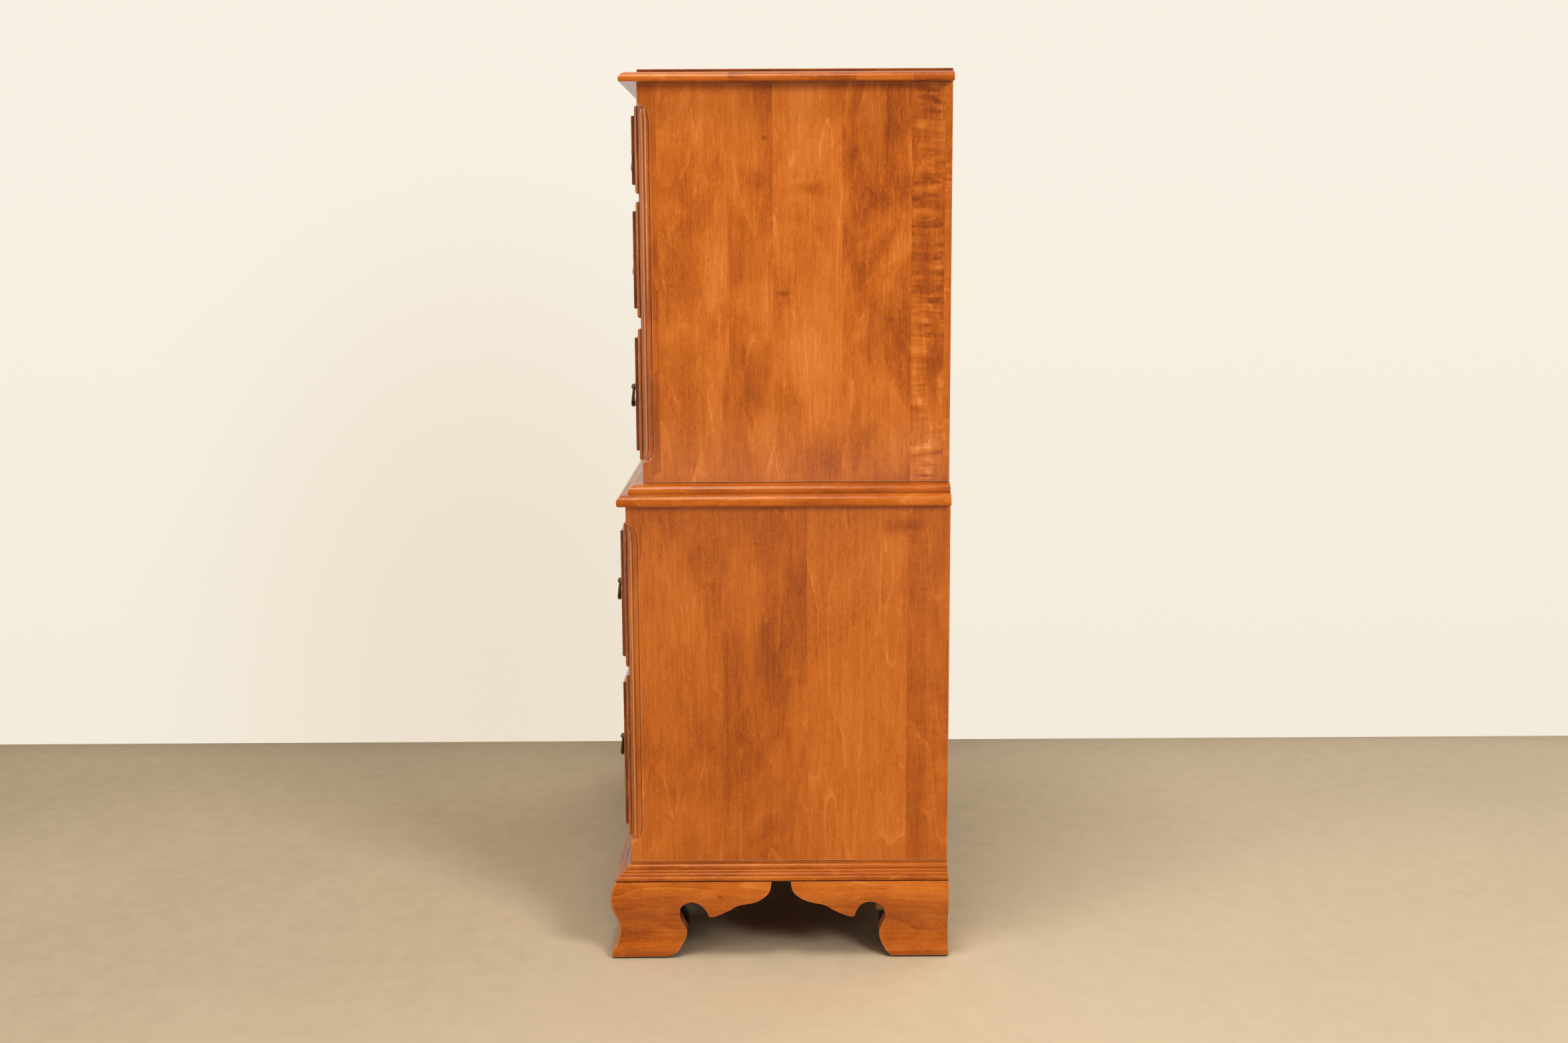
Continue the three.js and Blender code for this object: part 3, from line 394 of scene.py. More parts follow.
def woodMaterial(name, wood, grain="z", side=None, mitre=None, shift=0.0, tone=0.0, staves=None, spots=()):
    material, tree, shader, place = startMaterial(name)
    axes = list(addNode(tree, "SeparateXYZ", {0: place}).outputs)
    vector = grainVector(tree, axes, grain)
    if mitre:
        inputs = {0: sideMask(tree, axes, mitre), 4: vector, 5: grainVector(tree, axes, side)}
        vector = addNode(tree, "Mix", inputs, data_type="VECTOR").outputs[1]
    mottling, rippled, level = 1.0, 0.0, 0.5 + tone
    if staves:
        band, number = staveBands(tree, axes[1], staves)
        lift, mottling, rippled = addNode(tree, "SeparateColor", {0: band}).outputs
        level = calc(tree, "ADD", lift, tone)
        apart = addNode(tree, "VectorMath", {0: (71.0, 43.0, 29.0), "Scale": number}, operation="SCALE").outputs[0]
        vector = calcVector(tree, "ADD", vector, apart)
    vector = calcVector(tree, "ADD", vector, (shift * 3.1, shift * 1.7, shift * 5.3))

    def noise(kind):
        return stretched(tree, vector, *noises[kind])

    cloud = between(tree, noise("cloud"), *figure["cloudEdges"])
    patch = noise("patch")
    fibre = noise("fibre")
    value = added(tree, level, cloud, times(tree, mottling, wood["cloud"]))
    value = added(tree, value, patch, times(tree, mottling, wood["patch"]))
    value = added(tree, value, noise("streak"), wood["streak"])
    value = added(tree, value, fibre, wood["fibre"])
    speckle = calc(tree, "MULTIPLY_ADD", cloud, -0.5 * wood["speckle"], 1.25 * wood["speckle"])
    value = added(tree, value, noise("speckle"), speckle)
    # growth rings: a thin light line, then slowly darker up to the next
    turn = calc(tree, "FRACT", times(tree, noise("rings"), wood["rings"]))
    shade = calc(tree, "MULTIPLY_ADD", turn, figure["ringShade"], between(tree, turn, figure["ringLine"], 0.0))
    ringed = times(tree, between(tree, patch, *figure["ringPatches"]), wood["ring"])
    value = calc(tree, "MULTIPLY_ADD", shade, ringed, value)
    waves = calc(tree, "SUBTRACT", noise("curl"), 0.5)
    waves = times(tree, waves, between(tree, patch, *figure["curlPatches"]))
    value = calc(tree, "MULTIPLY_ADD", times(tree, waves, rippled), wood["curl"], value)
    for spot in spots:
        value = calc(tree, "SUBTRACT", value, spotDepth(tree, place, patch, spot))
    colour = colourRamp(tree, value, wood["tones"]).outputs[0]
    flecks = times(tree, between(tree, noise("pores"), *figure["poreEdges"]), wood["pores"])
    colour = blendColour(tree, flecks, colour, blendColour(tree, figure["poreDark"], colour, (0, 0, 0, 1)))
    bump = addNode(tree, "Bump", {"Strength": wood["bump"], "Distance": figure["bumpDepth"], "Height": fibre})
    setInputs(tree, shader, {
        "Base Color": agedColourWithPaintedLight(tree, colour, wood),
        "Roughness": added(tree, wood["rough"], patch, figure["roughSpread"]),
        "Specular IOR Level": wood["specular"], "Specular Tint": wood["tint"], "Normal": bump.outputs[0],
    })
    setInputs(tree, shader, dict(zip(("Coat Weight", "Coat Roughness", "Coat IOR"), wood["coat"])))
    return material


metalFinish = {
    "grain": 160.0, "fineness": 9, "fineShare": 0.5, "roughSpread": 0.3, "bump": 0.12, "bumpDepth": 0.0003,
    "rubReach": 0.0016, "rubOpen": (0.7, 0.3),
}


# tones: dark, middle, light and rubbed; the rubbed tone lightens edges, as wear and as a painted glint
def metalMaterial(name, tones, metallic, rough, wearAndSheen):
    s = metalFinish
    material, tree, shader, place = startMaterial(name)
    cloud = stretched(tree, place, (s["grain"],) * 3, 4, 0.6)
    fine = stretched(tree, place, (s["grain"] * s["fineness"],) * 3, 3, 0.6)
    value = added(tree, cloud, fine, s["fineShare"])
    colour = colourRamp(tree, value, list(zip((0.3, 0.52, 0.75), tones))).outputs[0]
    # edges lighter, as wear and as a painted glint
    rubbedAndSheen = between(tree, occlusion(tree, s["rubReach"], inside=True), *s["rubOpen"])
    colour = blendColour(tree, times(tree, rubbedAndSheen, wearAndSheen), colour, tones[3])
    bump = addNode(tree, "Bump", {"Strength": s["bump"], "Distance": s["bumpDepth"], "Height": fine})
    setInputs(tree, shader, {
        "Base Color": colour, "Metallic": metallic, "Roughness": added(tree, rough, cloud, s["roughSpread"]),
        "Normal": bump.outputs[0],
    })
    return material


darkBrass = metalMaterial(
    "darkBrass", (paint(58, 46, 27), paint(84, 68, 40), paint(112, 92, 54), paint(158, 132, 78)), 0.85, 0.4, 0.7)
casterBrass = metalMaterial(
    "casterBrass", (paint(112, 92, 62), paint(146, 124, 88), paint(170, 148, 110), paint(190, 170, 130)),
    0.8, 0.42, 0.4)
casterSteel = metalMaterial(
    "casterSteel", (paint(84, 80, 72), paint(116, 111, 100), paint(140, 136, 126), paint(176, 172, 162)),
    0.85, 0.42, 0.4)
tyreRubber = metalMaterial(
    "tyreRubber", (paint(16, 16, 15), paint(24, 23, 22), paint(34, 33, 31), paint(52, 50, 47)), 0.0, 0.58, 0.3)
print("metals ready")


# Modelling helpers, in millimetres
def nodeBox(node):
    low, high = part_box(node)
    return low / mm, high / mm


def quarter(start, end, level, steps):  # a quarter ellipse that leaves its first point level or upright
    points = []
    for i in range(1, steps + 1):
        angle = i / steps * math.pi / 2
        fast, slow = math.sin(angle), 1 - math.cos(angle)
        u, v = (fast, slow) if level else (slow, fast)
        points.append((start[0] + (end[0] - start[0]) * u, start[1] + (end[1] - start[1]) * v))
    return points


def bulged(start, end, bulge, steps):  # an arc that stands off its chord, to the left of the way
    along = Vector(end) - Vector(start)
    off = Vector((-along.y, along.x)).normalized() * bulge
    shares = [i / steps for i in range(1, steps)]
    return [tuple(Vector(start) + along * t + off * (1 - (2 * t - 1) ** 2)) for t in shares]


def smooth(points, steps):  # a curve through points
    spots = [Vector(p) for p in points]
    last = len(spots) - 1
    curve = []
    for i in range(last * steps + 1):
        k = min(i // steps, last - 1)
        t = i / steps - k
        before, start, end, after = (spots[min(max(k + n, 0), last)] for n in (-1, 0, 1, 2))
        leave, arrive = (end - before) / 2, (after - start) / 2
        curve.append((start * 2 - end * 2 + leave + arrive) * t ** 3
                     + (end * 3 - start * 3 - leave * 2 - arrive) * t ** 2 + leave * t + start)
    return curve


def startRing(bm, points):
    verts = [bm.verts.new(p) for p in points]
    for a, b in zip(verts, verts[1:] + verts[:1]):
        bm.edges.new((a, b))
    return verts


def ringEdges(bm, verts):
    return [bm.edges.get((a, b)) for a, b in zip(verts, verts[1:] + verts[:1])]


def newVerts(made):
    return [item for item in made["geom"] if isinstance(item, bmesh.types.BMVert)]


def pushRing(bm, verts, points):
    fresh = set(newVerts(bmesh.ops.extrude_edge_only(bm, edges=ringEdges(bm, verts))))
    moved = [next(e.other_vert(v) for e in v.link_edges if e.other_vert(v) in fresh) for v in verts]
    for vert, point in zip(moved, points):
        vert.co = point
    return moved


def loft(bm, rings):
    first = last = startRing(bm, rings[0])
    for points in rings[1:]:
        last = pushRing(bm, last, points)
    for verts in (first, last):
        bmesh.ops.contextual_create(bm, geom=ringEdges(bm, verts))
    return first, last


def addBox(bm, x, y, z):
    verts = bmesh.ops.create_cube(bm, size=1)["verts"]
    size = Vector((abs(x[1] - x[0]), abs(y[1] - y[0]), abs(z[1] - z[0])))
    bmesh.ops.scale(bm, vec=size, verts=verts)
    bmesh.ops.translate(bm, vec=((x[0] + x[1]) / 2, (y[0] + y[1]) / 2, (z[0] + z[1]) / 2), verts=verts)
    return verts


def addTurned(bm, profile, centre, axis, sides):  # profile: (radius, height along the axis)
    to = Vector(axis).to_track_quat("Z", "Y").to_matrix()
    verts = [bm.verts.new(Vector(centre) + to @ Vector((r, 0, h))) for r, h in profile]
    edges = [bm.edges.new(pair) for pair in zip(verts, verts[1:])]
    bmesh.ops.spin(bm, geom=verts + edges, cent=centre, axis=Vector(axis), angle=math.tau, steps=sides, use_merge=True)


def faceOutward(bm):
    bmesh.ops.recalc_face_normals(bm, faces=bm.faces)


def bevelEdges(bm, edges, width, segments):
    bmesh.ops.bevel(bm, geom=edges, offset=width, offset_type="OFFSET", segments=segments, profile=0.5,
                    affect="EDGES", material=-1, clamp_overlap=True)


def softenEdges(bm, width, angle=50, segments=2, test=None):
    edges = [e for e in bm.edges if len(e.link_faces) == 2 and e.calc_face_angle(0) > math.radians(angle)
             and (test is None or test(e))]
    bevelEdges(bm, edges, width, segments)


def meshOf(bm, name):
    bmesh.ops.remove_doubles(bm, verts=bm.verts, dist=0.01)
    faceOutward(bm)
    bmesh.ops.scale(bm, vec=(mm, mm, mm), verts=bm.verts)
    mesh = bpy.data.meshes.new(name)
    bm.to_mesh(mesh)
    bm.free()
    return mesh


def cutAway(bm, cutter):  # takes the cutter's solids away, and gives a new bmesh
    body = addObject("body", meshOf(bm, "body"))
    tool = addObject("tool", meshOf(cutter, "tool"))
    cut = body.modifiers.new("cut", "BOOLEAN")
    cut.operation = "DIFFERENCE"
    cut.solver = "EXACT"
    cut.object = tool
    seen = body.evaluated_get(bpy.context.evaluated_depsgraph_get())
    result = bmesh.new()
    result.from_mesh(seen.to_mesh())
    bmesh.ops.scale(result, vec=(1 / mm,) * 3, verts=result.verts)
    for item in (body, tool):
        bpy.data.objects.remove(item)
    return result


def finishPiece(name, bm, materials, node, body="chest"):
    mesh = meshOf(bm, name)
    mesh.shade_smooth()
    mesh.set_sharp_from_angle(angle=math.radians(33))
    for material in materials:
        mesh.materials.append(material)
    piece = addObject(name, mesh)
    weighted = piece.modifiers.new("weighted", "WEIGHTED_NORMAL")
    weighted.keep_sharp = True
    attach(piece, body)
    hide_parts(node)


def markFaces(bm, test):  # gives some faces the second material
    for face in bm.faces:
        if test(face):
            face.material_index = 1


# Planes of the two cases
case = {}
for which in ("upper", "lower"):
    low, high = nodeBox(which + "_side_right")
    case[which] = {"half": high.x, "front": low.y, "back": high.y, "low": low.z, "high": high.z,
                   "thick": high.x - low.x}
upper, lower = case["upper"], case["lower"]
sides = (("left", -1), ("right", 1))
corners = [(end, word, way) for end in ("front", "rear") for word, way in sides]
lowerMitre = (lower["half"], lower["front"], 60)  # where its boards' mitres start, and how long they are

# Boards round the cases
topBoard = {
    "nose": 24, "noseHeight": 13.7, "underRound": 2.5, "noseFlat": 1.1, "roundRun": 14,
    "stepBack": 1, "stepRound": 1.2, "steps": 10,
    "staves": [
        (-300, 0, 1, 0), (-150, 0.04, 1, 0), (-66, -0.05, 1, 0), (28, 0.05, 1, 0.2), (112, 0, 1, 0), (190, -0.04, 1, 0),
    ],
}
waistBoard = {
    "nose": 12.5, "underRun": 3.2, "underRise": 5, "noseFlat": 1.8, "noseTop": 17.2, "fillet": 3.3,
    "filletRise": 2, "ovoloRun": 17, "steps": 10,
}
baseBand = {
    "member": 60, "reeds": ((8, 15.8), (12.5, 11), (17, 7.8), (22.7, 4.4)), "fillet": 0.8, "shoulder": 21.4,
    "groove": 1.5, "underRun": 2.2, "underRise": 3.2, "steps": 7, "sunk": 0.2,
}
boardMaple = dict(maple, coat=(0.6, 0.28, 1.35))
# a duller finish for the step's upright faces, which are also painted darker as shade
shadedStepWood = dict(maple, coat=(0.4, 0.4, 1.35))


def edgedBoard(profile, plan):  # front and side edges follow the profile, the back edge is flat
    bm = bmesh.new()
    half, front, back = plan["half"], plan["front"], plan["back"]
    rings = [((-half - out, back, z), (-half - out, front - out, z), (half + out, front - out, z),
              (half + out, back, z)) for out, z in profile]
    loft(bm, rings)
    softenEdges(bm, 0.5, 60, 2, lambda e: all(v.co.y > back - 1 for v in e.verts))
    return bm


def noseProfile(s, low, run, rise, steps):  # a board's lower edge, up to where the nose starts to turn back
    under, nose = (s["nose"] - run, low), (s["nose"], low + rise)
    return [under, *quarter(under, nose, True, steps), (nose[0], nose[1] + s["noseFlat"])]


def makeTopBoard(s):
    low, high = (corner.z for corner in nodeBox("top_board"))
    shelf = low + s["noseHeight"]
    profile = noseProfile(s, low, s["underRound"], s["underRound"], 4)
    profile += quarter(profile[-1], (s["nose"] - s["roundRun"], shelf), False, s["steps"])
    profile += [(-s["stepBack"], shelf), (-s["stepBack"], high - s["stepRound"])]
    profile += quarter(profile[-1], (-s["stepBack"] - s["stepRound"], high), False, 3)
    bm = edgedBoard(profile, upper)
    bm.normal_update()
    # painted shade: the top's upright step faces get a darker, duller copy of the maple
    markFaces(bm, lambda face: abs(face.normal.z) < 0.3 and face.calc_center_median().z > shelf)
    mitre = (upper["half"], upper["front"], -1)
    topMaple = woodMaterial("topMaple", boardMaple, "x", "y", mitre, shift=2.3, tone=-0.12, staves=s["staves"])
    shadedStepMaple = woodMaterial("shadedStepMaple", shadedStepWood, "x", "y", mitre, shift=2.3, tone=-0.42)
    finishPiece("topBoard", bm, [topMaple, shadedStepMaple], "top_board")


def makeWaistBoard(s):
    low, high = (corner.z for corner in nodeBox("waist_deck"))
    profile = noseProfile(s, low, s["underRun"], s["underRise"], 6)
    profile += quarter(profile[-1], (-s["fillet"], low + s["noseTop"]), False, s["steps"])
    profile.append((-s["fillet"], low + s["noseTop"] + s["filletRise"]))
    profile += quarter(profile[-1], (-s["fillet"] - s["ovoloRun"], high), False, s["steps"])
    material = woodMaterial("waistMaple", boardMaple, "x", "y", lowerMitre, shift=4.1, tone=-0.05)
    finishPiece("waistBoard", edgedBoard(profile, lower), [material], "waist_deck")


def makeBaseBand(s):
    low, high = (corner.z for corner in nodeBox("base_moulding"))
    inner = -s["member"]
    outline = [(inner, low), (inner, high), (s["fillet"], high), (s["fillet"], low + s["shoulder"])]
    last = outline[-1]
    for i, (out, rise) in enumerate(s["reeds"]):
        to = (out, low + rise)
        outline += quarter(last, to, True, s["steps"])
        last = to
        if i == 0:
            outline += [(out, to[1] - s["groove"]), (out + s["groove"], to[1] - s["groove"])]
            last = outline[-1]
    nose = s["reeds"][-1][0]
    outline.append((nose, low + s["underRise"]))
    outline += quarter(outline[-1], (nose - s["underRun"], low), False, 4)
    half, front, back, sunk = lower["half"], lower["front"], lower["back"], s["sunk"]
    stations = (lambda out: (-half - out, back), lambda out: (-half - out, front - out),
                lambda out: (half + out, front - out), lambda out: (half + out, back))
    bm = bmesh.new()
    loft(bm, [[(*station(out), z) for out, z in outline] for station in stations])
    reach = half - s["member"] - sunk
    addBox(bm, (-reach, reach), (back - s["member"], back), (low + sunk, high - sunk))
    material = woodMaterial("baseMaple", boardMaple, "x", "y", lowerMitre, shift=6.7, tone=-0.13)
    finishPiece("baseBand", bm, [material], "base_moulding")


makeTopBoard(topBoard)
makeWaistBoard(waistBoard)
makeBaseBand(baseBand)
print("boards round the cases made")


# Side panels with their stopped moulded corners
sidePanel = {
    "rabbet": 8, "backSeat": 7.3, "arris": 0.9,
    "cornerWidth": 17.5, "quirkDepth": 2.4, "quirkRun": 0.8, "beadBulge": 2.2, "valleyFar": 8, "valleyNear": 6.8,
    "ridgeAt": 5.2, "beadSteps": 12, "clear": 6,
    # the stopped ends: how far each part of the stop reaches, and what is left of the width
    "stopTip": 0.02, "stopEnd": 5, "stopScoop": 8, "stopBend": 24, "stopShare": 0.72, "stopStart": 0.1, "stopSteps": 10,
    "stopOverrun": {"upper": (1.1, 1.1), "lower": (3, 1.9)},  # past the lowest and the highest drawer front
    "rows": {"upper": ("drawer_3", "drawer_1_left"), "lower": ("drawer_5", "drawer_4")},
    "woods": {
        # the side panels lighten their arrises more, partly as a painted highlight, and darken their recesses less,
        # partly as painted shade
        "upper": dict(maple, paintedShadeAndDirt=0.4, wearAndSheen=0.8, coat=(1.0, 0.12, 1.5)),
        "lower": dict(maple, paintedShadeAndDirt=0.4, wearAndSheen=0.8, cloud=0.2, patch=0.46),
    },
    "staves": {
        "upper": [
            (-300, -0.1, 0.7, 0), (-168.9, 0.1, 1.0, 0), (-68.8, 0.04, 0.9, 0), (-6.1, 0.12, 0.8, 0),
            (92.5, -0.02, 1.25, 0), (190.7, 0.0, 1.1, 1.0), (237.7, -0.1, 0.8, 0.5),
        ],
        "lower": [(-300, 0.0, 0.9, 0), (-82.6, -0.04, 1.0, 0), (41.1, 0.06, 0.6, 0), (185.3, -0.04, 0.8, 0.2)],
    },
    "spots": {  # darker places: y, z, half width, half height, depth
        "upper": [
            (-128, 1150, 34, 60, 0.16), (-40, 850, 40, 90, 0.18), (110, 1200, 34, 120, 0.2), (60, 735, 60, 60, 0.16),
            (-16, 1193, 7, 6, 0.3), (8, 975, 15, 6, 0.24), (46, 1122, 30, 14, 0.2), (215, 1140, 20, 12, 0.2),
            (215, 860, 24, 70, 0.2),
        ],
        "lower": [(-8, 430, 45, 150, 0.12), (180, 640, 50, 20, 0.25)],
    },
    "shifts": {("upper", "left"): 8, ("upper", "right"): 1, ("lower", "left"): 11, ("lower", "right"): 4},
}


def cornerOutline(s):  # distances behind the front face and inside the side face
    half = [(s["cornerWidth"] + s["quirkRun"], -s["clear"]), (s["cornerWidth"] - s["quirkRun"], s["quirkDepth"])]
    half += bulged(half[1], (s["valleyFar"], s["valleyNear"]), s["beadBulge"], s["beadSteps"])
    half.append((s["valleyFar"], s["valleyNear"]))
    return [*half, (s["ridgeAt"], s["ridgeAt"]), *[(b, a) for a, b in reversed(half)], (-s["clear"], -s["clear"])]


def stopOutline(s, share, depth):  # the same narrowed to a share of its width, and filled up to a chamfer
    points = []
    for a, b in cornerOutline(s):
        fill = (s["cornerWidth"] - a - b) / 2 * (1 - depth) if min(a, b) >= 0 else 0
        points.append([(c + fill) * share if c > 0 else c for c in (a, b)])
    return points


def stopRings(s):  # from the tip inwards: height above the tip, share of the width, depth
    scoop, bend, end, start, steps = (s["stop" + key] for key in ("Scoop", "Bend", "End", "Start", "Steps"))

    def widthAt(rise):
        return s["stopShare"] + (1 - s["stopShare"]) * (1 - (1 - (rise - end) / bend) ** 2)

    rings = [(0, s["stopTip"], 0), (end, s["stopShare"], start)]
    for i in range(1, steps + 1):
        t = i / steps
        rise = end + t * scoop
        rings.append((rise, widthAt(rise), start + (1 - start) * (t * (3 - t) / 2)))
    for i in range(1, steps + 1):
        rise = end + scoop + (bend - scoop) * i / steps
        rings.append((rise, widthAt(rise), 1))
    return rings


def makeSidePanel(s, which, word, way):
    plan = case[which]
    half, front, back = plan["half"], plan["front"], plan["back"]
    inner, seat = half - plan["thick"], back - s["backSeat"]
    rebate = inner + s["rabbet"]
    section = ((half, front), (half, back), (rebate, back), (rebate, seat), (inner, seat), (inner, front))
    bm = bmesh.new()
    loft(bm, [[(way * x, y, z) for x, y in section] for z in (plan["low"], plan["high"])])
    faceOutward(bm)
    softenEdges(bm, s["arris"], 60, 3, lambda e: abs(abs(e.verts[0].co.x) - half) < 0.1
                and abs(e.verts[0].co.z - e.verts[1].co.z) > 100)
    bottom, top = (nodeBox(row + "_front") for row in s["rows"][which])
    below, above = s["stopOverrun"][which]
    low, high = bottom[0].z - below, top[1].z + above
    stops = stopRings(s)
    path = [(low + rise, share, depth) for rise, share, depth in stops]
    path += [(high - rise, share, depth) for rise, share, depth in reversed(stops)]
    cutter = bmesh.new()
    loft(cutter, [[(way * (half - b), front + a, z) for a, b in stopOutline(s, share, depth)]
                  for z, share, depth in path])
    bm = cutAway(bm, cutter)
    spots = s["spots"][which] if word == "right" else ()
    material = woodMaterial(f"{which}SideMaple_{word}", s["woods"][which], shift=s["shifts"][which, word],
                            staves=s["staves"][which], spots=spots)
    finishPiece(f"{which}Side_{word}", bm, [material], f"{which}_side_{word}")


for which in ("upper", "lower"):
    for word, way in sides:
        makeSidePanel(sidePanel, which, word, way)
print("side panels made")


# Ogee bracket feet
foot = {
    "proud": 30.2, "height": 113, "gap": 2.5, "inner": 6, "arris": 0.9, "levelSteps": 4, "scrollSteps": 5,
    "wingGap": 27.5, "frontShare": 0.5041, "blockBottom": 60, "blockMargin": 15, "sunk": 0.2,
    "boardThick": 18, "boardLength": 150, "frontStemBack": 45, "rearStemForward": 90, "inboard": 81.5,
    "tones": {"front": -0.06, "rear": -0.01}, "knot": (-88, 95, 6, 4, 0.35),
    "ogee": [
        (.967, .075), (.77, .15), (.64, .26), (.612, .37), (.7, .49), (.88, .61), (1, .77), (.93, .9), (.765, 1),
    ],
    "front": [
        [(.35, 0), (.404, .058), (.437, .145), (.463, .24), (.464, .33), (.435, .45), (.423, .58), (.44, .69),
         (.5, .748), (.558, .7), (.592, .605), (.607, .52)],
        [(.607, .52), (.645, .522), (.733, .618), (.79, .69), (.899, .742), (.965, .83), (.99, .91), (1, 1.06)],
    ],
    "rear": [
        [(.365, 0), (.396, .075), (.425, .17), (.437, .275), (.424, .38), (.402, .49), (.404, .6), (.432, .7),
         (.497, .741), (.55, .706), (.581, .615), (.595, .514)],
        [(.595, .514), (.64, .522), (.733, .623), (.78, .69), (.89, .748), (.955, .82), (.99, .905), (1, 1.06)],
    ],
    "board": [[(.58, 0), (.6, .3), (.72, .55), (.93, .72), (1, 1.1)]],
}
ogeeLevels = [(p.x * foot["proud"], foot["gap"] + p.y * foot["height"])
              for p in smooth(foot["ogee"], foot["levelSteps"])]
toeProud = ogeeLevels[0][0]
footTop = nodeBox("foot_front_right")[1].z


def ogeeAt(z):
    if z <= ogeeLevels[0][1]:
        return toeProud
    for (out, low), (nextOut, high) in zip(ogeeLevels, ogeeLevels[1:]):
        if z <= high:
            return out + (nextOut - out) * (z - low) / (high - low)
    return ogeeLevels[-1][0]


# A sawn board: its flat outline is cut at the ogee's levels, given its thickness and pushed out to the ogee
def addBracket(bm, s, curves, length, place, inner, faceAt, endAt, levels):
    part = bmesh.new()
    curve = []
    for shares in curves:
        curve += smooth([(u * length, s["gap"] + v * s["height"]) for u, v in shares], s["scrollSteps"])
    outline = [(0, 0, s["gap"]), *((p.x, 0, p.y) for p in curve), (0, 0, curve[-1].y)]
    bmesh.ops.contextual_create(part, geom=ringEdges(part, startRing(part, outline)))
    bmesh.ops.remove_doubles(part, verts=part.verts, dist=0.05)
    for level in (*levels, footTop):
        everything = part.verts[:] + part.edges[:] + part.faces[:]
        bmesh.ops.bisect_plane(part, geom=everything, dist=0.02, plane_co=(0, 0, level), plane_no=(0, 0, 1),
                               clear_outer=level == footTop)
    bmesh.ops.remove_doubles(part, verts=part.verts, dist=0.2)
    fresh = set(newVerts(bmesh.ops.extrude_face_region(part, geom=part.faces[:])))
    rim = [e for e in part.edges if not any(v in fresh for v in e.verts)
           and any(v in fresh for f in e.link_faces for v in f.verts)]
    for vert in part.verts:
        u, z = vert.co.x, vert.co.z
        out = -inner if vert in fresh else faceAt(z)
        vert.co = (endAt(out) if u < 0.01 else u, out, z)
    faceOutward(part)
    arrises = [e for e in rim if min(v.co.x for v in e.verts) > 10 or min(v.co.z for v in e.verts) > footTop - 0.1]
    bevelEdges(part, arrises, s["arris"], 2)
    for vert in part.verts:
        vert.co = place(*vert.co)
    joined = bpy.data.meshes.new("part")
    part.to_mesh(joined)
    part.free()
    bm.from_mesh(joined)
    bpy.data.meshes.remove(joined)


def makeFoot(s, end, word, way, woods):
    half, front, back = lower["half"], lower["front"], lower["back"]
    run = back - front + toeProud - s["wingGap"]
    levels = [z for out, z in ogeeLevels]
    bm = bmesh.new()
    stem = way * (half - s["inboard"])
    blockAcross = (stem - way * s["blockMargin"], way * (half - s["inner"] - s["sunk"]))
    start = s["inner"] + s["sunk"]
    if end == "front":
        length = run * s["frontShare"]
        for place in (lambda u, out, z: (way * (half + out), front - toeProud + u, z),
                      lambda u, out, z: (way * (half + toeProud - u), front - out, z)):
            addBracket(bm, s, s["front"], length, place, s["inner"], ogeeAt, lambda out: toeProud - out, levels)
        count = len(bm.faces)
        blockAlong = (front + start, front + s["frontStemBack"] + s["blockMargin"])
    else:
        length = run * (1 - s["frontShare"])
        addBracket(bm, s, s["rear"], length, lambda u, out, z: (way * (half + out), back - u, z), s["inner"], ogeeAt,
                   lambda out: 0, levels)
        count = len(bm.faces)
        thick = s["boardThick"]
        addBracket(bm, s, s["board"], s["boardLength"], lambda u, out, z: (way * (half - u), back - thick + out, z), 0,
                   lambda z: thick, lambda out: start, [])
        blockAlong = (back - thick - s["sunk"], back - s["rearStemForward"] - s["blockMargin"])
    addBox(bm, blockAcross, blockAlong, (s["blockBottom"], footTop))
    faceOutward(bm)
    # painted shade: faces turned inward take the darker inside copy of the maple
    for i, face in enumerate(bm.faces):
        inward = face.normal.x * way < -0.7 or (end == "front" and face.normal.y > 0.7)
        face.material_index = 1 if i >= count else 2 if inward else 0
    finishPiece(f"foot_{end}_{word}_carved", bm, woods, f"foot_{end}_{word}")


# the feet's inner faces: unlacquered maple, darker as painted shade for the space under the chest
shadedInsideWood = dict(maple, coat=plainWood["coat"])
footPlain = woodMaterial("footBlocks", plainWood, "z", shift=3.3, tone=-0.25)
footInsideShaded = woodMaterial("footInsideShaded", shadedInsideWood, "x", "y", lowerMitre, shift=7.7, tone=-0.42)
for number, (end, word, way) in enumerate(corners):
    spots = [foot["knot"]] if (end, word) == ("front", "right") else ()
    footMaple = woodMaterial(f"footMaple_{end}_{word}", maple, "x", "y", lowerMitre, shift=9.1 + number * 1.9,
                             tone=foot["tones"][end], spots=spots)
    makeFoot(foot, end, word, way, [footMaple, footPlain, footInsideShaded])
print("feet made")


# Drawer fronts: a rounded lip, a raised field and sockets for the sides' dovetails
drawerFront = {
    "lipSide": 8.5, "lipTop": 6, "lipThick": 6, "lipRound": 4, "lipRelief": 1.3, "thick": 14, "clear": 1.5, "seam": 0.3,
    "fieldInset": 13, "fieldRise": 5.5, "fieldRound": 1.2, "fieldEdge": 0.4, "fieldRun": 2.4, "roundSteps": 7,
    "tailLength": 9, "tailPitch": 46, "tailFlare": 1.5, "tailShare": 0.62, "tailOverrun": 3,
    "boxSide": 12, "boxTopGap": 6,
    "tones": (-0.03, 0.03, 0.0, 0.05, 0.02, -0.02, 0.03),
}
endGrain = dict(maple, streak=0.1, fibre=0.1, speckle=0.6)
endMaple = woodMaterial("endMaple", endGrain, "x", shift=5.2, tone=-0.34)
drawers = {f"drawer_{row}": upper for row in ("1_left", "1_right", "2_left", "2_right", "3")}
drawers.update({f"drawer_{row}": lower for row in ("4", "5")})


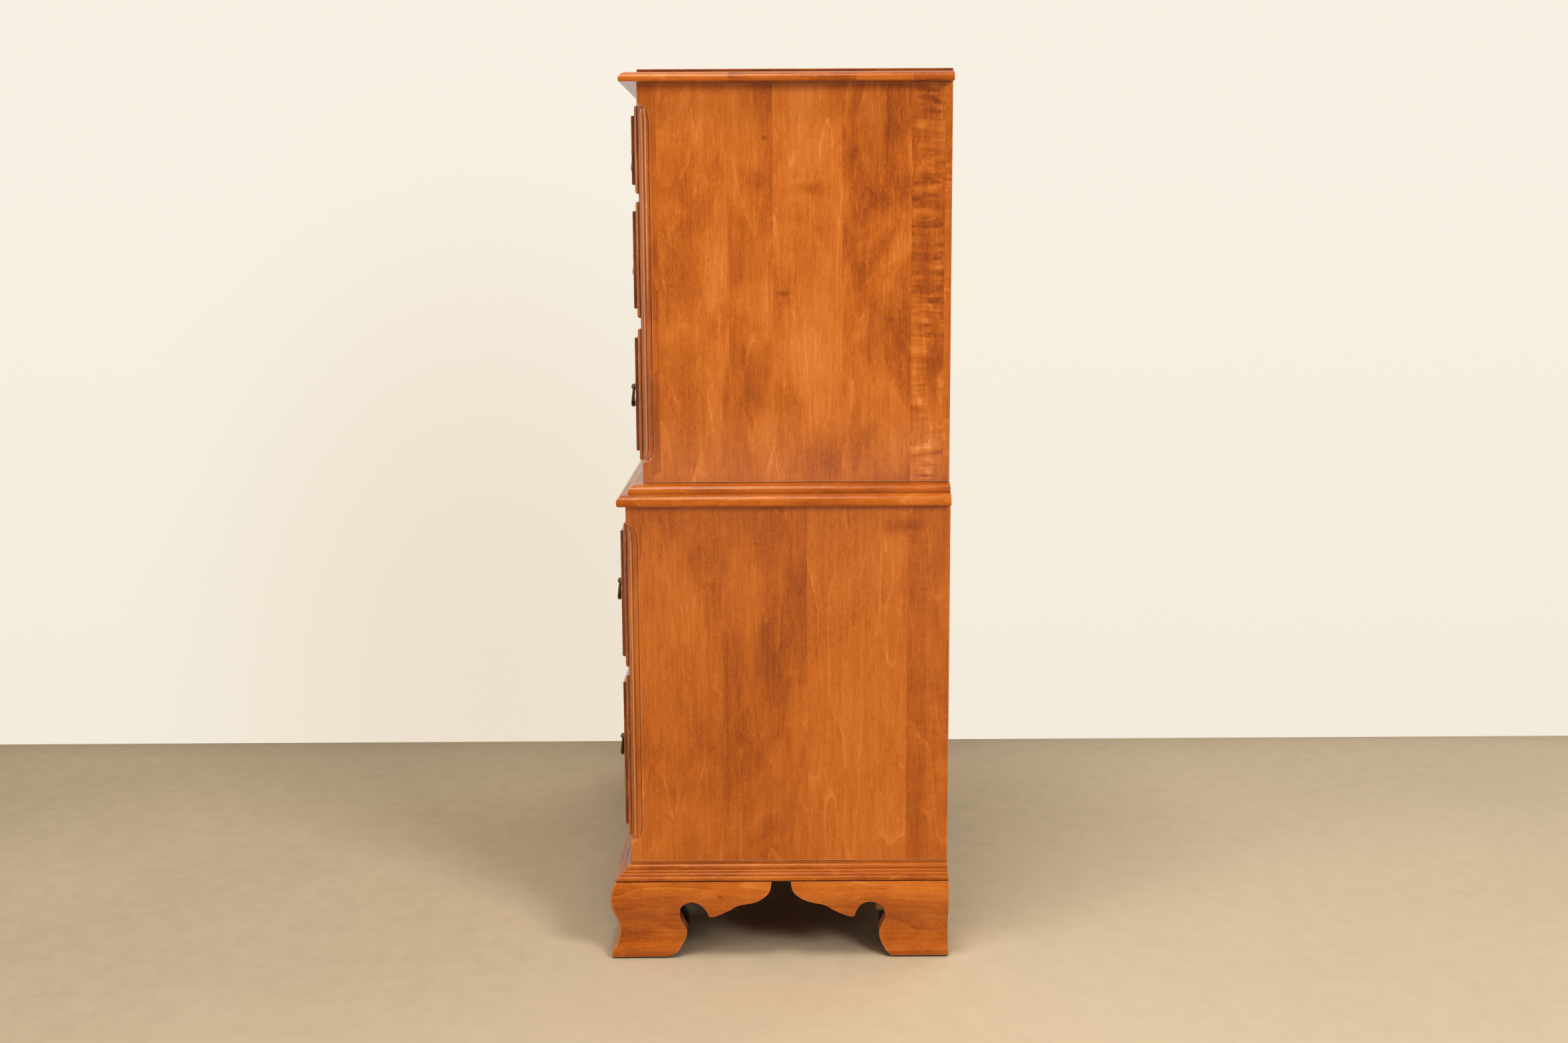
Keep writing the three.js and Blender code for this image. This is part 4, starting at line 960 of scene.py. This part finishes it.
def tailCutter(s, low, high, front):
    cutter = bmesh.new()
    bottom, top = low.z + s["lipTop"] + s["seam"], high.z - s["lipTop"] - s["boxTopGap"]
    count = round((top - bottom) / s["tailPitch"])
    pitch = (top - bottom) / count
    tip = front + s["thick"] - s["tailLength"] - s["seam"]
    over = s["tailOverrun"]
    root = front + s["thick"] + over
    edge = s["lipSide"] + s["clear"]
    for i in range(count):
        middle = bottom + (i + 0.5) * pitch
        near, far = (pitch * s["tailShare"] / 2 + extra + s["seam"] for extra in (0, s["tailFlare"]))
        for x0, x1 in ((low.x + edge - over, low.x + edge + s["boxSide"] + s["seam"]),
                       (high.x - edge + over, high.x - edge - s["boxSide"] - s["seam"])):
            outline = ((root, middle - near), (root, middle + near), (tip, middle + far), (tip, middle - far))
            loft(cutter, [[(x, y, z) for y, z in outline] for x in (x0, x1)])
    return cutter


def makeDrawerFront(s, name, plan, number):
    low, high = nodeBox(name + "_front")
    front = plan["front"]
    sideIn, topIn = s["lipSide"] + s["clear"], s["lipTop"] + s["clear"]
    lip, seam, relief, inset = s["lipThick"], s["seam"], s["lipRelief"], s["fieldInset"]
    field = lip + s["fieldRise"]
    # each step: how far out, and how far in from the sides and from the top and bottom
    steps = [(-s["thick"], sideIn, topIn), (seam, sideIn, topIn), (seam, relief, relief), (seam + relief, 0, 0),
             (lip - s["lipRound"], 0, 0)]
    steps += [(out, i, i) for i, out in quarter((0, lip - s["lipRound"]), (s["lipRound"], lip), False, s["roundSteps"])]
    edge = (inset + s["fieldEdge"], field - s["fieldRound"])
    steps += [(lip, inset, inset), (edge[1], edge[0], edge[0])]
    steps += [(out, i, i) for i, out in quarter(edge, (inset + s["fieldRun"], field), False, 5)]
    bm = bmesh.new()
    rings = []
    for out, x, z in steps:
        left, right, bottom, top = low.x + x, high.x - x, low.z + z, high.z - z
        rings.append([(u, front - out, v) for u, v in ((left, bottom), (right, bottom), (right, top), (left, top))])
    loft(bm, rings)
    bm = cutAway(bm, tailCutter(s, low, high, front))
    bm.normal_update()
    rim = front - lip - 0.1
    markFaces(bm, lambda face: abs(face.normal.x) > 0.5 and face.calc_center_median().y < rim)
    material = woodMaterial(name + "_maple", maple, "x", shift=20 + number * 2.7, tone=s["tones"][number])
    finishPiece(name + "_frontBoard", bm, [material, endMaple], name + "_front", name)


for number, (name, plan) in enumerate(drawers.items()):
    makeDrawerFront(drawerFront, name, plan, number)
print("drawer fronts made")


# Handles: a willow back plate, two turned posts and a bail
handle = {
    "width": 104, "height": 58, "thick": 1.5, "bevel": 0.6, "spacing": 76, "rise": 5, "reach": 7.5, "sunk": 0.3,
    "rose": 7, "roseThick": 0.5, "collar": 2.1, "neck": 2.9, "head": 4.6, "headSteps": 12, "sides": 28,
    "plate": [  # stretches of half the outline between its points, as shares of the half sizes
        [(0, 1), (.05, .9), (.14, .82)],
        [(.14, .82), (.2, .9), (.3, .88), (.37, .78), (.42, .62)],
        [(.42, .62), (.52, .7), (.64, .7), (.76, .66), (.86, .58), (.95, .42), (1, .2), (.99, -.05), (.96, -.2),
         (.88, -.38), (.78, -.48)],
        [(.78, -.48), (.7, -.56), (.6, -.6), (.52, -.59), (.46, -.56)],
        [(.46, -.56), (.42, -.72), (.3, -.84), (.21, -.85), (.13, -.8)],
        [(.13, -.8), (.05, -.86), (0, -1)],
    ],
    "pin": 1.7, "grip": 3.0, "drop": 29, "forward": 2.5, "gap": 0.7,
    "bail": [(.16, .16), (.11, .55), (-.05, .82), (-.3, .96), (-1, 1)],
    "rodSides": 16, "rodSteps": 7, "plateSteps": 3,
}


def makePlate(s, name, x, z, field, body, node):
    bm = bmesh.new()
    half = []
    for stretch in s["plate"]:
        half += smooth([(u * s["width"] / 2, v * s["height"] / 2) for u, v in stretch], s["plateSteps"])[:-1]
    half.append(Vector((0, -s["height"] / 2)))
    outline = [*half, *(Vector((-p.x, p.y)) for p in reversed(half[1:-1]))]
    back = field - s["sunk"]
    ring = startRing(bm, [(x + p.x, back, z - s["rise"] + p.y) for p in outline])
    bmesh.ops.contextual_create(bm, geom=ringEdges(bm, ring))
    fresh = newVerts(bmesh.ops.extrude_face_region(bm, geom=bm.faces[:]))
    bmesh.ops.translate(bm, vec=(0, -s["thick"], 0), verts=fresh)
    faceOutward(bm)
    face = back - s["thick"]
    rim = [e for e in bm.edges if e.calc_face_angle(0) > 1 and all(v.co.y < face + 0.1 for v in e.verts)]
    bevelEdges(bm, rim, s["bevel"], 3)
    reach, head, neck, thick = s["reach"], s["head"], s["neck"], s["thick"]
    turn = [(0, thick / 2), (s["rose"], thick / 2), (s["rose"], thick + s["roseThick"])]
    turn += quarter(turn[-1], (neck, thick + s["collar"]), True, 4)
    start, steps = math.asin(neck / head), s["headSteps"]
    angles = [start + (math.pi - start) * i / steps for i in range(steps)]
    turn += [(head * math.sin(a), reach - head * math.cos(a)) for a in angles] + [(0, reach + head)]
    for way in (-1, 1):
        addTurned(bm, turn, (x + way * s["spacing"] / 2, field, z), (0, -1, 0), s["sides"])
    finishPiece(name, bm, [darkBrass], node, body)


def makeBail(s, name, x, z, field, body, node):
    post = s["spacing"] / 2
    arm = s["head"] + s["gap"] + s["pin"]
    half = [(post, 0), (post + arm - s["pin"], 0)]
    half += [((post + arm) * (1 + u) if u < 0 else post + arm + u * arm, -v * s["drop"]) for u, v in s["bail"]]
    path = smooth(half + [(-u, v) for u, v in reversed(half[:-1])], s["rodSteps"])
    rings = []
    for i, point in enumerate(path):
        before, after = path[max(i - 1, 0)], path[min(i + 1, len(path) - 1)]
        along = (after - before).normalized()
        up = Vector((-along.y, 0, along.x))
        depth = min(1.0, max(0.0, -point.y / s["drop"]))
        radius = s["pin"] + (s["grip"] - s["pin"]) * depth
        centre = Vector((x + point.x, field - s["reach"] - s["forward"] * depth, z + point.y))
        turns = [math.tau * k / s["rodSides"] for k in range(s["rodSides"])]
        rings.append([centre + Vector((0, radius, 0)) * math.cos(t) + up * radius * math.sin(t) for t in turns])
    bm = bmesh.new()
    loft(bm, rings)
    softenEdges(bm, 0.4, 60)
    finishPiece(name, bm, [darkBrass], node, body)


for number in "12345":
    for word, way in sides:
        node = f"{number}_{word}"
        low, high = nodeBox("handle_plate_" + node)
        x, z = (low.x + high.x) / 2, (low.z + high.z) / 2 + handle["rise"]
        field = high.y + handle["sunk"]
        body = f"drawer_{node}" if number in "12" else f"drawer_{number}"
        makePlate(handle, f"plate_{node}", x, z, field, body, f"handle_plate_{node}")
        makeBail(handle, f"bailRod_{node}", x, z, field, f"bail_{node}", f"bail_{node}")
print("handles made")


# Casters: a rubber tyre on a dished brass wheel; the forks stay as the CAD has them
wheel = {
    "width": 17, "hub": 5.5, "bore": 2.8, "hubRound": 0.6, "hubFoot": (1.2, 2.4), "dish": 14.5, "dishDepth": 3,
    "dishFlat": 2.5, "dishRise": (0.5, 0.4), "faceBack": 0.8, "tyreInner": 15.8, "tyreRound": 2.6, "sides": 64,
    "tyreEdge": ((-0.8, 0.6), (0, 0.3), (0.3, 0.9), (0.9, 0.1), (1.6, 0)),  # from its inner rim out, from its face in
}


def makeWheel(s, end, word):
    low, high = nodeBox(f"caster_wheel_{end}_{word}")
    centre = (low + high) / 2
    half, radius = s["width"] / 2, (high.y - low.y) / 2
    face, floor = half - s["faceBack"], half - s["dishDepth"]
    edge = [(s["bore"], half), (s["hub"] - s["hubRound"], half), (s["hub"], half - s["hubRound"]),
            (s["hub"] + s["hubFoot"][0], half - s["hubFoot"][1]), (s["dish"] - s["dishFlat"], floor),
            (s["dish"] - s["dishRise"][0], floor + s["dishRise"][1])]
    edge += [(s["tyreInner"] + out, face - down) for out, down in s["tyreEdge"]]
    edge.append((radius - s["tyreRound"], face))
    edge += quarter(edge[-1], (radius, face - s["tyreRound"]), True, 6)
    profile = edge + [(r, -h) for r, h in reversed(edge)]
    bm = bmesh.new()
    addTurned(bm, profile + profile[:1], centre, (1, 0, 0), s["sides"])
    bmesh.ops.remove_doubles(bm, verts=bm.verts, dist=0.01)
    markFaces(bm, lambda item: (item.calc_center_median() - centre).yz.length > s["tyreInner"] + 0.1)
    finishPiece(f"wheel_{end}_{word}_turned", bm, [casterBrass, tyreRubber], f"caster_wheel_{end}_{word}",
                f"wheel_{end}_{word}")


for end, word, way in corners:
    makeWheel(wheel, end, word)
print("wheels made")


# CAD nodes that keep their own shape
frameWood = woodMaterial("frameMaple", maple, "x", shift=31.0, tone=-0.04)
innerWood = woodMaterial("innerWood", plainWood, "y", shift=12.0, tone=-0.05)
boxWood = woodMaterial("boxWood", plainWood, "y", shift=17.0, tone=0.02)
plyWood = woodMaterial("backPly", backPly, "z", shift=14.0)
covers = {"upper_frame": frameWood, "lower_frame": frameWood, "upper_bottom": innerWood, "lower_bottom": innerWood,
          "upper_back": plyWood, "lower_back": plyWood}
covers.update({name + "_box": boxWood for name in drawers})
covers.update({f"caster_fork_{end}_{word}": casterSteel for end, word, way in corners})
for name, material in covers.items():
    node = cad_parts[name]
    node.data.materials.clear()
    node.data.materials.append(material)
print("CAD nodes covered:", len(covers))
